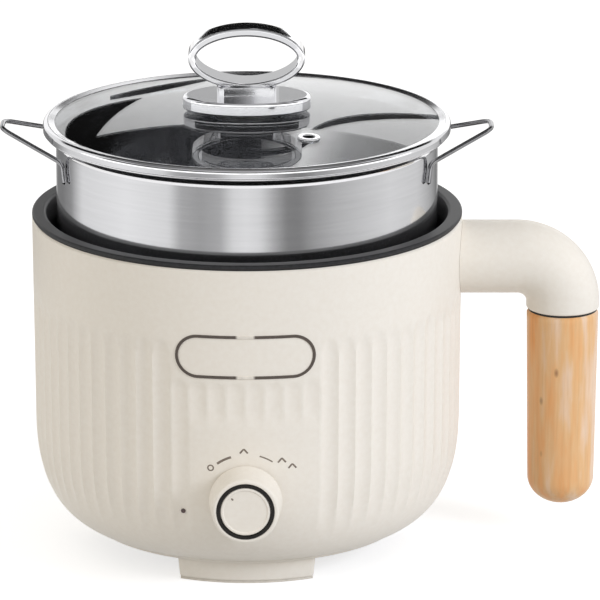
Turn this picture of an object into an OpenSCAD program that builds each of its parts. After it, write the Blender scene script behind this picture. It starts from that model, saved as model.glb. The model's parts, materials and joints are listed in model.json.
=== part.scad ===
// Electric steamer pot: heated pot with a side handle, lift-out steaming basket and glass lid.
// Millimetres, +Z up, dial towards -Y, handle towards +X, origin on the pot's axis at table height.

/* [Body] */
// Outer diameter of the body at its rim
body_d = 192; // [180:1:204]
// Height of the shell's rim above the table
rim_z = 151; // [142:1:165]
// Wall of the outer shell
shell_wall = 2.6; // [2.2:0.1:3]
// Radius that the wall loses from the rim to the shoulder
draft = 0.55; // [0.3:0.05:1]
// Radial depth of the rounded bottom corner
corner_w = 39.7; // [37:0.1:41]
// Height of the rounded bottom corner
corner_h = 55.4; // [52:0.1:58]
// Squareness of the corner: 2 is an ellipse
corner_n = 2.7; // [2.5:0.05:2.9]
// Number of flutes around the wall
flute_n = 72; // [60:4:84]
// Depth of a flute
flute_depth = 0.6; // [0.4:0.05:0.8]
// Distance from the rim down to the flutes' upper ends
flute_drop = 32; // [30:0.5:36]
// Distance from the rim down to the plain panel round the dial
panel_drop = 72; // [66:0.5:76]
// Half angle of the plain panel, seen from the axis
panel_angle = 16; // [13:1:18]
// Turn of the plain panel's middle, to the right of the dial
panel_turn = 2.5; // [0:0.5:3]

/* [Base] */
// Radius of the base cover
cover_r = 72; // [70:0.5:73]
// Thickness of the base cover
cover_t = 2.6; // [2.2:0.1:3]
// Height of the feet below the cover
foot_h = 9.2; // [8:0.1:11]
// Outer radius of the feet
foot_r = 69.5; // [68:0.5:70]
// Radial width of a foot
foot_w = 19; // [16:0.5:22]
// Angle that a foot spans
foot_angle = 53; // [46:1:56]
// Thickness of the pads under the feet
pad_t = 1.2; // [1:0.1:2]

/* [Pot] */
// Air gap between the pot's upper wall and the shell
air_gap = 4.7; // [4.6:0.1:6]
// Wall of the pot
pot_wall = 1.5; // [1.2:0.1:1.8]
// Floor of the pot
pot_floor_t = 2; // [1.6:0.1:3]
// Width of the ledge that the basket stands on
ledge_w = 6.7; // [5:0.1:8]
// Depth of the ledge below the rim
ledge_drop = 21.7; // [19:0.1:25]
// Inner corner radius of the pot's floor
pot_corner = 12; // [9:0.5:14]
// Radial width of the flange's flat top
flange_w = 6; // [5:0.1:6.4]
// Thickness of the flange
flange_t = 1.6; // [1.4:0.1:2]
// Thickness of the seal under the flange
seal_t = 1; // [0.8:0.1:1.4]
// Height of the chamber between base cover and pot
heater_space = 47; // [45:0.5:52]

/* [Heater] */
// Radius of the heating plate
plate_r = 56; // [54:0.5:58]
// Thickness of the heating plate
plate_t = 6; // [5:0.1:7]
// Radius of the heating ring's centre line
ring_r = 42; // [39:0.5:43]
// Radius of the heating tube
tube_r = 3.6; // [3:0.1:4]
// Radius of the heat shield
shield_r = 57; // [54:0.5:58]
// Distance between heating plate and heat shield
shield_gap = 17.2; // [16.5:0.1:18]
// Radius of the circle that the base screws stand on
standoff_circle = 64; // [62.5:0.5:65]

/* [Basket] */
// Gap between the basket and the pot's upper wall
basket_gap = 2.2; // [1.6:0.1:3]
// Height of the basket
basket_h = 60.6; // [54:0.2:70]
// Sheet thickness of the basket
basket_wall = 0.8; // [0.6:0.1:1]
// Width of the basket's flared rim
basket_rim = 4.8; // [4:0.1:6]
// Diameter of a steam hole
steam_hole = 5; // [4:0.2:6]
// Distance between the rings of steam holes
steam_pitch = 15.5; // [14:0.5:17]
// Radius of the handle wire
wire_r = 1.1; // [0.9:0.05:1.4]
// Distance of the wire handle's tip from the basket wall
bail_reach = 23.6; // [20:0.1:30]
// Rise of the wire handle from its weld to its tip
bail_rise = 10.2; // [8:0.1:15]
// Half angle between the two legs of a wire handle
bail_angle = 20; // [16:1:24]

/* [Lid] */
// Overhang of the lid's band past the basket's rim
lid_overhang = 0.9; // [0.4:0.1:2]
// Height of the lid's band
band_h = 4; // [3.8:0.1:5]
// Thickness of the glass
glass_t = 2.8; // [2.6:0.1:3.2]
// Rise of the glass dome
dome_rise = 5.1; // [4:0.1:8]
// Distance of the steam vent from the axis
vent_r = 52.5; // [48:0.5:60]
// Width of the knob's oval disc
disc_w = 57; // [50:1:64]
// Depth of the knob's oval disc
disc_depth = 37; // [34:1:44]
// Thickness of the knob's disc
disc_t = 6; // [5:0.1:7]
// Width of the loop
loop_w = 51.7; // [46:0.1:58]
// Height of the loop
loop_h = 27; // [24:0.2:32]
// Thickness of the loop's band
loop_t = 2.8; // [2.4:0.1:3.6]
// Depth of the loop's band
loop_depth = 17; // [14:0.5:20]

/* [Handle] */
// Distance from the body to the grip's axis
handle_reach = 45.5; // [42:0.5:52]
// Depth of the arm's axis below the rim
arm_drop = 19.8; // [18.5:0.1:24]
// Radius of the arm
arm_r = 16.4; // [15:0.1:17.5]
// Bend radius of the arm's centre line
bend_r = 20.7; // [19.5:0.1:23]
// Radius of the grip at its top
grip_r = 16.1; // [14.5:0.1:17]
// Radius of the grip above its round end
grip_r_low = 14.95; // [13:0.05:15.5]
// Length of the grip
grip_len = 90.7; // [80:0.1:95]
// Height of the grip's round end
grip_tip = 12.5; // [10:0.5:15]

/* [Dial] */
// Depth of the dial's axis below the pot's bottom
dial_drop = 12.4; // [11.5:0.1:14]
// Radius of the dial at its back
knob_r = 16; // [15.6:0.1:18]
// Radius of the dial at its face
knob_face_r = 14.4; // [13.6:0.1:15.4]
// Depth of the dial
knob_depth = 16; // [14:0.5:19]
// Outer radius of the dark ring on the dial's face
dial_ring_r = 12.5; // [12:0.1:13]
// Width of the dark ring
dial_ring_w = 1.5; // [1:0.1:2]
// Radius of the switch's shaft
shaft_r = 3; // [2.5:0.1:3.4]
// Turn of the dial at rest, left of straight up
dial_off_angle = 45; // [30:5:60]
// Angle of the indicator, left of the dial
lamp_angle = 17; // [15:1:20]

/* [Inlet] */
// Width of the inlet's recess
inlet_w = 25; // [22:0.5:26]
// Height of the inlet's recess
inlet_h = 17; // [16:0.5:18]
// Depth of the inlet's recess
inlet_depth = 15; // [13:0.5:16]
// Distance of a side pin from the middle
pin_x = 7.5; // [7.2:0.1:8.5]

/* [Fits] */
// Gap between a lifted piece and its seat
rest_gap = 0.3; // [0.2:0.05:0.5]
// Gap between pieces that are fixed together
fit_gap = 0.1; // [0.05:0.05:0.2]
// Radial clearance of the turning shaft
run_gap = 0.05; // [0.03:0.01:0.1]

/* [Hidden] */
$fn = 64;

// Small overlap of shapes that are fused, and reach of a cut past its face
eps = 0.02;
cut = 1;

// Colours
cream = [0.91, 0.88, 0.82];
dark = [0.12, 0.12, 0.13];
graphite = [0.25, 0.25, 0.26];
steel = [0.78, 0.79, 0.80];
chrome = [0.86, 0.87, 0.89];
aluminium = [0.70, 0.71, 0.72];
brass = [0.78, 0.64, 0.32];
oak = [0.80, 0.61, 0.40];
rubber = [0.74, 0.71, 0.67];
white = [0.93, 0.93, 0.91];

// Heights of the base, and the corner curve of the shell
body_r = body_d / 2;
cover_z = pad_t + foot_h;
cover_top = cover_z + cover_t;
corner_dip = 0.6;
shoulder_z = cover_z - corner_dip + corner_h;
shoulder_r = body_r - draft;
rim_round = 0.8;
foot_turns = [-90, 30, 150];
foot_taper = 0.6;
pad_inset = 0.8;
pad_turn = 1;
flute_top = rim_z - flute_drop;
panel_z = rim_z - panel_drop;
flute_tail = 18;
flute_low = shoulder_z - flute_tail;
flute_r = wall_r((flute_top + shoulder_z) / 2);
flute_steps = 5;
ridge_over = 0.25;
vent_n = 12;
vent_slot = [14, 3];
vent_circle = 32;

// Heights of the pot
flange_z = rim_z + seal_t;
flange_top = flange_z + flange_t;
flare_drop = 5;
pot_base = cover_top + heater_space;
pot_floor = pot_base + pot_floor_t;
ledge_z = rim_z - ledge_drop;
collar_z = ledge_z - pot_wall;
pot_top_r = body_r - shell_wall - air_gap - pot_wall;
pot_r = pot_top_r - ledge_w;
seal_inset = 0.4;

// Standoffs and base screws
standoff_turns = [90, 210, 330];
standoff_r = 4.5;
standoff_h = 22;
boss_r = 5;
boss_top = pot_base - standoff_h;
screw_r = 2;
base_head_r = 3.5;
base_head_h = 2.5;
base_screw_grip = 10;
base_screw_in = 12;
base_screw_end = boss_top + base_screw_in;

// Heater stack, from the pot downwards
plate_z = pot_base - plate_t;
ring_sink = 2;
ring_z = plate_z + ring_sink - tube_r;
ring_open = 60;
leg_r = 2.4;
leg_inset = 6;
leg_h = 6;
pin_r = 1.6;
heater_pin_h = 7;
shield_t = 0.8;
shield_top = plate_z - shield_gap;
stud_circle = 50.5;
stud_r = 3;
stud_thread_r = 2;
stud_tail = 5;
nut_h = 3;
nut_r = 4;
thermo_r = 8;
thermo_flange_h = 2;
thermo_body_r = 6.8;
thermo_body_h = 8;
thermo_tab = [6, 0.8, 5];
strap_w = 18;
strap_l = 32;
strap_t = 1;
strap_screw_x = 12.5;
strap_screw_r = 1.5;
strap_head_r = 2.8;
fuse_r = 2;
fuse_l = 16;
fuse_y = 24;
clip_w = 6;
clip_wall = 1.2;

// Basket and its handles
basket_r = pot_top_r - basket_gap;
basket_z = ledge_z + rest_gap;
basket_top = basket_z + basket_h;
basket_corner = 4;
flare_h = 4.4;
rim_lip = 1;
steam_rings = 4;
weld_gap = 0.15;
weld_drop = 8.5;
weld_z = basket_top - weld_drop;
leg_len = 9;
leg_lean = 2;
bail_tip = 7.7;
bail_bend = 4;
bail_tip_bend = 9;

// Lid
lid_z = basket_top + rest_gap;
lid_r = basket_r + basket_rim + lid_overhang;
band_lip = 0.4;
band_wall = 1.2;
band_w = 3.6;
glass_r = lid_r - band_wall;
glass_edge = lid_z + band_lip + glass_t;
glass_top = glass_edge + dome_rise;
dome_r = (pow(glass_r, 2) + pow(dome_rise, 2)) / (2 * dome_rise);
dome_z = glass_top - dome_r;
vent_turn = -58.5;
vent_tilt = asin(vent_r / dome_r);
vent_flange_r = 5;
vent_tube_r = 3.4;
vent_hole_r = 2.6;
vent_lip = 0.8;
soft_t = 1;
disc_r = disc_w / 2;
disc_z = glass_top + soft_t;
disc_top = disc_z + disc_t;
disc_round = 1.6;
disc_chamfer = 0.8;
soft_inset = 4.5;
soft_r = disc_depth / 2 - soft_inset;
post_w = 26;
post_depth = 22;
post_h = 4.3;
loop_z = disc_top + post_h + loop_h / 2;
lid_screw_r = 2.5;
lid_hole_r = 3.2;
lid_head_r = 5;
lid_head_h = 2.2;
lid_screw_in = 4;
lid_screw_end = disc_top + lid_screw_in;
inner_washer_r = 9;
inner_washer_t = 1.2;
inner_washer_gap = 0.15;
inner_washer_z = glass_top - glass_t - inner_washer_gap - inner_washer_t;

// Handle
grip_x = body_r + handle_reach;
arm_z = rim_z - arm_drop;
arm_sink = 8;
arm_start = body_r - arm_sink;
arm_end_x = grip_x - bend_r;
arm_stub = 2.8;
arm_low = arm_z - bend_r - arm_stub;
grip_ring_t = 1;
grip_ring_inset = 0.7;
grip_ring_r = grip_r - grip_ring_inset;
grip_chamfer = 0.5;
grip_top = arm_low - grip_ring_t;
grip_low = grip_top - grip_len;
rod_r = 3;
rod_down = 45;
rod_up = 16;
insert_r = 5.5;
insert_l = 14;
bracket_t = 1.1;
bracket_angle = 9;
bracket_half_h = 14;
bracket_r = wall_r(arm_z - bracket_half_h) - shell_wall - fit_gap;
handle_screw_z = 9;
handle_screw_l = 20;
handle_head_r = 3.4;
handle_head_h = 2;

// Dial, switch and indicator, measured outwards from the axis
dial_z = pot_base - dial_drop;
dial_wall = wall_r(dial_z);
dial_boss_inset = 1;
dial_boss_r = knob_r - dial_boss_inset;
dial_boss_proud = 0.6;
dial_boss = dial_wall + dial_boss_proud;
switch_w = 21;
dial_pad = sqrt(pow(inner_r(dial_z - switch_w / 2), 2) - pow(switch_w / 2, 2)) - rest_gap;
switch_depth = 15;
switch_back = dial_pad - switch_depth;
switch_tab = [4, 0.8];
switch_tab_l = 4.2;
switch_tab_x = 5;
bushing_r = 4.4;
bushing_out = 4;
bushing_end = dial_boss + bushing_out;
switch_nut_r = 7.4;
switch_nut_h = 2.2;
knob_gap = 0.5;
knob_back = dial_boss + knob_gap;
knob_front = knob_back + knob_depth;
knob_edge = 1.2;
knob_chamfer = 0.6;
knob_bore_h = 4.5;
knob_bore_r = 9.5;
face_recess = 1.5;
ring_proud = 0.15;
cap_gap = 0.3;
cap_bevel = 2;
cap_step = [0.6, 0.2];
shaft_seat = 3;
shaft_in = switch_back + shaft_seat;
shaft_cover = 2.5;
shaft_end = knob_front - face_recess - shaft_cover;
flat_depth = 0.6;
mark_w = 0.8;
mark_depth = 0.5;
lamp_drop = 6.8;
lamp_z = dial_z - lamp_drop;
lamp_wall = wall_r(lamp_z);
lens_r = 1;
lens_flange_r = 2.4;
lens_flange_t = 1;
lens_in = sqrt(pow(inner_r(lamp_z - lens_flange_r), 2) - pow(lens_flange_r, 2)) - rest_gap;
led_r = 2.5;
led_l = 7;

// Badge frame on the front wall
badge_w = 61;
badge_h = 19.5;
badge_line = 1.4;
badge_proud = 0.5;
badge_drop = 38.6;
badge_z = rim_z - badge_drop;
badge_margin = 1.5;
badge_low = badge_z - badge_h / 2 - badge_margin;
badge_angle = asin((badge_w / 2 + badge_margin) / body_r);

// Inlet at the back, measured outwards from the axis
inlet_drop = 12;
inlet_z = pot_base - inlet_drop;
inlet_wall = 2.5;
inlet_back = 5;
inlet_proud = 1.2;
inlet_boss = wall_r(inlet_z) + inlet_proud;
inlet_boss_sink = 4;
inlet_boss_in = wall_r(inlet_z) - shell_wall - inlet_boss_sink;
bezel_t = 2;
bezel_ear = 8;
bezel_edge = 2;
bezel_w = inlet_w + 2 * (inlet_wall + bezel_ear);
bezel_h = inlet_h + 2 * (inlet_wall + bezel_edge);
bezel_round = 4;
inlet_boss_margin = 2.5;
inlet_face = inlet_boss + bezel_t;
inlet_floor = inlet_face - inlet_depth;
inlet_in = inlet_floor - inlet_back;
inlet_screw_x = inlet_w / 2 + inlet_wall + bezel_ear / 2;
inlet_screw_r = 1.5;
inlet_screw_l = 8;
inlet_head_r = 2.8;
inlet_head_h = 1.4;
pin_size = [4, 2];
pin_up = 1;
earth_up = 4.5;
pin_recess = 3;
pin_tail = 4;
block_size = [30, 14, 12];
block_y = 38;
block_screw_r = 2;
block_screw_h = 1;
lead_r = 1.2;
lead_bend = 5;
lead_end = 0.2;
lead_z = cover_top + block_size.z / 2;
lead_run = 9;
lead_back_y = inlet_in - pin_tail - lead_run;
lead_front_y = -(switch_back - switch_tab_l - lead_run);

// Radius of the outer wall at a height: a straight draft above the shoulder, a squared ellipse below
function corner_z(z) = min(1, (shoulder_z - z) / corner_h);
function wall_r(z) = z >= shoulder_z
    ? body_r - draft * (rim_z - z) / (rim_z - shoulder_z)
    : shoulder_r - corner_w + corner_w * pow(1 - pow(corner_z(z), corner_n), 1 / corner_n);
// Radius of the shell's inner face below the shoulder
function inner_r(z) = shoulder_r - corner_w + (corner_w - shell_wall)
    * pow(1 - pow((shoulder_z - z) / (corner_h - shell_wall), corner_n), 1 / corner_n);
// Point of the corner curve at angle a, moved inwards by t
function corner_at(a, t) = [
    shoulder_r - corner_w + (corner_w - t) * pow(cos(a), 2 / corner_n),
    shoulder_z - (corner_h - t) * pow(sin(a), 2 / corner_n)
];
// Quarter ellipse about c from the side (a = 0) to the bottom (a = 90), in n steps
function quarter(c, rx, ry, n) = [for (i = [0 : n]) c + [rx * cos(90 * i / n), -ry * sin(90 * i / n)]];
function backwards(list) = [for (i = [len(list) - 1 : -1 : 0]) list[i]];
function unit(v) = v / norm(v);

// Points of a line whose inner corners are rounded with the given radii
function corner_arc(a, b, c, r, n) =
    let (u = unit(a - b), v = unit(c - b), bend = acos(u * v), turn = 180 - bend)
    let (middle = b + unit(u + v) * r / sin(bend / 2))
    let (start = b + u * r / tan(bend / 2) - middle, end = b + v * r / tan(bend / 2) - middle)
    [for (i = [0 : n]) middle + (sin((1 - i / n) * turn) * start + sin(i / n * turn) * end) / sin(turn)];
function rounded_path(p, radii, n) = [
    p[0],
    for (i = [1 : len(p) - 2]) each corner_arc(p[i - 1], p[i], p[i + 1], radii[i - 1], n),
    p[len(p) - 1]
];

// A round tube along a path; ref is a direction that the path never takes
module tube(path, r, sides, ref) {
    last = len(path) - 1;
    points = [
        for (i = [0 : last])
            let (t = unit(path[min(i + 1, last)] - path[max(i - 1, 0)]))
            let (u = unit(cross(ref, t)), v = cross(t, u))
            for (k = [0 : sides - 1]) path[i] + r * (cos(360 * k / sides) * u + sin(360 * k / sides) * v)
    ];
    sides_faces = [
        for (i = [0 : last - 1], k = [0 : sides - 1])
            let (a = i * sides + k, b = i * sides + (k + 1) % sides)
            each [[a, a + sides, b + sides], [a, b + sides, b]]
    ];
    caps = [
        for (k = [1 : sides - 2])
            each [[0, k, k + 1], [last * sides, last * sides + k + 1, last * sides + k]]
    ];
    polyhedron(points, concat(sides_faces, caps));
}

// A flat rectangle with round corners
module rounded_rect(w, h, r) {
    square([w - 2 * r, h], center = true);
    square([w, h - 2 * r], center = true);
    for (x = [-1, 1], y = [-1, 1]) translate([x * (w / 2 - r), y * (h / 2 - r)]) circle(r);
}

// A ring with a rectangular section
module ring(r_in, r_out, z, h) {
    translate([0, 0, z]) difference() {
        cylinder(r = r_out, h = h);
        translate([0, 0, -cut]) cylinder(r = r_in, h = h + 2 * cut);
    }
}

// Frames of the dial (local z leaves the front) and of the inlet (local z leaves the back), y up in both
module dial_frame() translate([0, 0, dial_z]) rotate([90, 0, 0]) children();
module inlet_frame() translate([0, 0, inlet_z]) rotate([90, 0, 180]) children();
// Frame at the indicator: local z leaves the wall
module lamp_frame() translate([0, 0, lamp_z]) rotate([90, 0, -lamp_angle]) children();
// Frame at the vent: local z leaves the glass, z = 0 on its outer face
module vent_frame() {
    translate([0, 0, dome_z]) rotate([0, vent_tilt, vent_turn]) translate([0, 0, dome_r]) children();
}
module turns(angles) for (a = angles) rotate([0, 0, a]) children();

// Outline that the flutes leave: ridges just outside the wall, round hollows between them.
// Flutes within the plain angle, to either side of a turn from the front, are left out.
function flute_outline(plain_angle, plain_turn) = [
    for (i = [0 : flute_n - 1], k = [0 : flute_steps - 1])
        let (u = k / flute_steps - 0.5, a = (i + u + 0.5) * 360 / flute_n)
        let (plain = abs((i + 0.5) * 360 / flute_n - 270 - plain_turn) < plain_angle)
        let (hollow = plain ? 1 : pow(2 * u, 2))
        (flute_r - flute_depth + (flute_depth + ridge_over) * hollow) * [cos(a), sin(a)]
];

// Ring that cuts the flutes between two heights
module flute_cut(low, high, plain_angle, plain_turn = 0) {
    translate([0, 0, low]) linear_extrude(high - low) difference() {
        circle(body_r + cut);
        polygon(flute_outline(plain_angle, plain_turn));
    }
}

module outer_shell() {
    color(cream) difference() {
        union() {
            rotate_extrude($fn = 2 * flute_n) polygon(shell_outline());
            shell_bosses();
        }
        flute_cut(badge_low, flute_top, badge_angle);
        flute_cut(panel_z, badge_low, 0);
        flute_cut(flute_low, panel_z, panel_angle, panel_turn);
        shell_holes();
    }
}

function shell_outline() =
    let (steps = 14, seat = cover_r + rest_gap, ledge_top = cover_top + shell_wall)
    let (ledge_in = standoff_circle + boss_r + rest_gap)
    let (outer = [for (i = [0 : steps]) corner_at(90 * i / steps, 0)])
    let (inner = [for (i = [0 : steps]) corner_at(90 * i / steps, shell_wall)])
    concat(
        [[body_r - shell_wall, rim_z], [body_r - rim_round, rim_z], [body_r, rim_z - rim_round]],
        [for (p = outer) if (p.x > seat) p],
        [[seat, wall_low(seat)], [seat, cover_top], [ledge_in, cover_top], [ledge_in, ledge_top]],
        backwards([for (p = inner) if (p.y > ledge_top + 1) p])
    );
// Height of the corner curve at a radius
function wall_low(r) =
    shoulder_z - corner_h * pow(1 - pow((r - shoulder_r + corner_w) / corner_w, corner_n), 1 / corner_n);

module shell_bosses() {
    dial_frame() translate([0, 0, dial_pad]) cylinder(r = dial_boss_r, h = dial_boss - dial_pad);
    inlet_frame() translate([0, 0, inlet_boss_in]) linear_extrude(inlet_boss - inlet_boss_in)
        rounded_rect(bezel_w + 2 * inlet_boss_margin, bezel_h + 2 * inlet_boss_margin, bezel_round);
}

module shell_holes() {
    dial_frame() translate([0, 0, dial_pad - cut])
        cylinder(r = bushing_r + fit_gap, h = dial_boss - dial_pad + 2 * cut);
    lamp_frame() translate([0, 0, lamp_wall - 3 * shell_wall])
        cylinder(r = lens_r + fit_gap, h = 5 * shell_wall);
    inlet_frame() translate([0, 0, inlet_boss_in - cut]) linear_extrude(inlet_boss - inlet_boss_in + 2 * cut)
        rounded_rect(inlet_tub().x + 2 * fit_gap, inlet_tub().y + 2 * fit_gap, inlet_wall);
    inlet_frame() for (x = [-1, 1]) translate([x * inlet_screw_x, 0, inlet_boss - inlet_screw_l])
        cylinder(r = inlet_screw_r + fit_gap, h = inlet_screw_l + cut);
    for (z = [-1, 1]) translate([0, 0, arm_z + z * handle_screw_z]) rotate([0, 90, 0])
        translate([0, 0, bracket_r - cut]) cylinder(r = screw_r + fit_gap, h = 3 * shell_wall);
}

module base_cover() {
    chamfer = 1;
    color(cream) difference() {
        union() {
            rotate_extrude() polygon([
                [0, cover_z], [cover_r - chamfer, cover_z], [cover_r, cover_z + chamfer],
                [cover_r, cover_top], [0, cover_top]
            ]);
            turns(foot_turns) rotate([0, 0, -foot_angle / 2]) rotate_extrude(angle = foot_angle) polygon([
                [foot_r - foot_w, pad_t], [foot_r - foot_taper, pad_t],
                [foot_r, cover_z + cover_t / 2], [foot_r - foot_w, cover_z + cover_t / 2]
            ]);
            turns(standoff_turns) translate([standoff_circle, 0, cover_z + cover_t / 2])
                cylinder(r = boss_r, h = boss_top - cover_z - cover_t / 2);
        }
        turns(standoff_turns) translate([standoff_circle, 0, 0]) {
            cylinder(r = screw_r + fit_gap, h = boss_top + cut);
            cylinder(r = base_head_r + fit_gap, h = boss_top - base_screw_grip);
        }
        turns([for (i = [0 : vent_n - 1]) i * 360 / vent_n])
            translate([vent_circle, 0, cover_z + cover_t / 2])
            cube([vent_slot.x, vent_slot.y, cover_t + 2 * cut], center = true);
    }
}

module foot_pads() {
    color(rubber) turns(foot_turns) rotate([0, 0, pad_turn - foot_angle / 2])
        rotate_extrude(angle = foot_angle - 2 * pad_turn)
        translate([foot_r - foot_w + pad_inset, 0]) square([foot_w - foot_taper - 2 * pad_inset, pad_t]);
}

module base_screws() {
    head_z = boss_top - base_screw_grip - base_head_h;
    color(steel) turns(standoff_turns) translate([standoff_circle, 0, head_z]) {
        cylinder(r = base_head_r, h = base_head_h);
        cylinder(r = screw_r, h = base_screw_end - head_z);
    }
}

module pot_standoffs() {
    color(steel) turns(standoff_turns) translate([standoff_circle, 0, boss_top]) difference() {
        cylinder(r = standoff_r, h = standoff_h);
        translate([0, 0, -cut]) cylinder(r = screw_r + fit_gap, h = base_screw_end - boss_top + 2 * cut);
    }
}

module inner_pot() {
    centre = [pot_r - pot_corner, pot_floor + pot_corner];
    color(graphite) rotate_extrude() polygon(concat(
        [[0, pot_floor]],
        backwards(quarter(centre, pot_corner, pot_corner, 6)),
        [[pot_r, collar_z], [pot_r + pot_wall, collar_z]],
        quarter(centre, pot_corner + pot_wall, pot_corner + pot_floor_t, 6),
        [[0, pot_base]]
    ));
}

// The collar on the pot's edge: the ledge that carries the basket, the wider mouth and the flange
module pot_collar() {
    out_top_r = pot_top_r + pot_wall;
    flange_in = body_r - flange_w;
    flange_edge = 0.6;
    flange_bend = 0.4;
    color(graphite) rotate_extrude() polygon(concat(
        [[pot_r, collar_z], [pot_r, ledge_z], [pot_top_r, ledge_z], [pot_top_r, rim_z - flare_drop]],
        [[flange_in - flange_edge, flange_top - flange_edge], [flange_in, flange_top]],
        [[body_r - rim_round, flange_top], [body_r, flange_top - rim_round], [body_r, flange_z]],
        [[flange_in + flange_bend, flange_z], [out_top_r, rim_z - flare_drop], [out_top_r, collar_z]]
    ));
}

module rim_seal() {
    color(dark) ring(body_r - shell_wall + seal_inset, body_r - rim_round - seal_inset / 2, rim_z, seal_t);
}

module heating_plate() {
    color(aluminium) difference() {
        translate([0, 0, plate_z]) cylinder(r = plate_r, h = plate_t);
        rotate_extrude() translate([ring_r, ring_z]) circle(tube_r + fit_gap);
    }
}

// Turns of the heating ring's two ends, on either side of the front, and of the legs just inside them
function ring_ends() = [-90 + ring_open / 2, 270 - ring_open / 2];
function leg_turns() = [ring_ends()[0] + leg_inset, ring_ends()[1] - leg_inset];

module heating_ring() {
    color(steel) {
        rotate([0, 0, ring_ends()[0]]) rotate_extrude(angle = 360 - ring_open)
            translate([ring_r, ring_z]) circle(tube_r);
        turns(leg_turns()) translate([ring_r, 0, ring_z - leg_h]) cylinder(r = leg_r, h = leg_h);
    }
}

module heater_terminals() {
    color(brass) turns(leg_turns()) translate([ring_r, 0, ring_z - leg_h - heater_pin_h])
        cylinder(r = pin_r, h = heater_pin_h);
}

module heat_shield() {
    lip_h = 3;
    color(steel) difference() {
        rotate_extrude() polygon([
            [0, shield_top - shield_t], [shield_r, shield_top - shield_t], [shield_r, shield_top + lip_h],
            [shield_r - shield_t, shield_top + lip_h], [shield_r - shield_t, shield_top], [0, shield_top]
        ]);
        turns(standoff_turns) translate([stud_circle, 0, shield_top - shield_t - cut])
            cylinder(r = stud_thread_r + fit_gap, h = shield_t + 2 * cut);
    }
}

module shield_studs() {
    color(steel) turns(standoff_turns) translate([stud_circle, 0, 0]) {
        translate([0, 0, shield_top]) cylinder(r = stud_r, h = plate_z - shield_top);
        translate([0, 0, shield_top - stud_tail]) cylinder(r = stud_thread_r, h = stud_tail + cut);
    }
}

module shield_nuts() {
    low = shield_top - shield_t - nut_h;
    color(steel) turns(standoff_turns) translate([stud_circle, 0, low]) difference() {
        cylinder(r = nut_r, h = nut_h, $fn = 6);
        translate([0, 0, -cut]) cylinder(r = stud_thread_r + fit_gap, h = nut_h + 2 * cut);
    }
}

module thermostat() {
    low = plate_z - thermo_flange_h - thermo_body_h;
    color(white) {
        translate([0, 0, plate_z - thermo_flange_h]) cylinder(r = thermo_r, h = thermo_flange_h);
        translate([0, 0, low]) cylinder(r = thermo_body_r, h = thermo_body_h + eps);
        for (y = [-1, 1])
            translate([0, y * thermo_body_r / 2, low - thermo_tab.z / 2 + eps])
            cube(thermo_tab, center = true);
    }
}

module thermostat_strap() {
    color(steel) difference() {
        translate([-strap_l / 2, -strap_w / 2, plate_z - thermo_flange_h - strap_t])
            cube([strap_l, strap_w, strap_t]);
        translate([0, 0, plate_z - thermo_flange_h - strap_t - cut])
            cylinder(r = thermo_body_r + fit_gap, h = strap_t + 2 * cut);
        for (x = [-1, 1]) translate([x * strap_screw_x, 0, plate_z - thermo_flange_h - strap_t - cut])
            cylinder(r = strap_screw_r + fit_gap, h = strap_t + 2 * cut);
    }
}

// Screws with a spacing collar between strap and plate
module strap_screws() {
    head_h = 1.6;
    head_z = plate_z - thermo_flange_h - strap_t - head_h;
    color(steel) for (x = [-1, 1]) translate([x * strap_screw_x, 0, 0]) {
        translate([0, 0, head_z]) cylinder(r = strap_head_r, h = head_h);
        translate([0, 0, head_z]) cylinder(r = strap_screw_r, h = plate_z - head_z);
        translate([0, 0, plate_z - thermo_flange_h]) cylinder(r = strap_head_r, h = thermo_flange_h);
    }
}

module thermal_fuse() {
    color(white) translate([-fuse_l / 2, fuse_y, fuse_z()]) rotate([0, 90, 0])
        cylinder(r = fuse_r, h = fuse_l);
}
function fuse_z() = plate_z - clip_wall - fit_gap - fuse_r;

module fuse_clip() {
    outer = fuse_r + fit_gap + clip_wall;
    color(steel) difference() {
        translate([-clip_w / 2, fuse_y - outer, fuse_z() - outer]) cube([clip_w, 2 * outer, 2 * outer]);
        translate([-clip_w, fuse_y, fuse_z()]) rotate([0, 90, 0])
            cylinder(r = fuse_r + fit_gap, h = 2 * clip_w);
    }
}

module rotary_switch() {
    color(white) dial_frame() difference() {
        union() {
            translate([-switch_w / 2, -switch_w / 2, switch_back]) cube([switch_w, switch_w, switch_depth]);
            translate([0, 0, dial_pad - cut]) cylinder(r = bushing_r, h = bushing_end - dial_pad + cut);
            for (x = [-1, 1]) translate([x * switch_tab_x, 0, switch_back - switch_tab_l / 2 + eps])
                cube([switch_tab.x, switch_tab.y, switch_tab_l], center = true);
        }
        translate([0, 0, shaft_in - run_gap])
            cylinder(r = shaft_r + run_gap, h = bushing_end - shaft_in + cut);
    }
}

module switch_nut() {
    color(steel) dial_frame() translate([0, 0, dial_boss]) difference() {
        cylinder(r = switch_nut_r, h = switch_nut_h, $fn = 6);
        translate([0, 0, -cut]) cylinder(r = bushing_r + fit_gap, h = switch_nut_h + 2 * cut);
    }
}

module indicator_lens() {
    color([0.35, 0.12, 0.08]) lamp_frame() {
        translate([0, 0, lens_in - lens_flange_t]) cylinder(r = lens_flange_r, h = lens_flange_t);
        translate([0, 0, lens_in - eps]) cylinder(r = lens_r, h = lamp_wall - lens_in);
    }
}

module indicator_lamp() {
    color([0.75, 0.2, 0.15]) lamp_frame() translate([0, 0, lens_in - lens_flange_t - led_l])
        cylinder(r = led_r, h = led_l);
}

// Outer width and height of the inlet's tub
function inlet_tub() = [inlet_w + 2 * inlet_wall, inlet_h + 2 * inlet_wall];
function pin_places() = [[-pin_x, pin_up], [pin_x, pin_up], [0, earth_up]];

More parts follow.
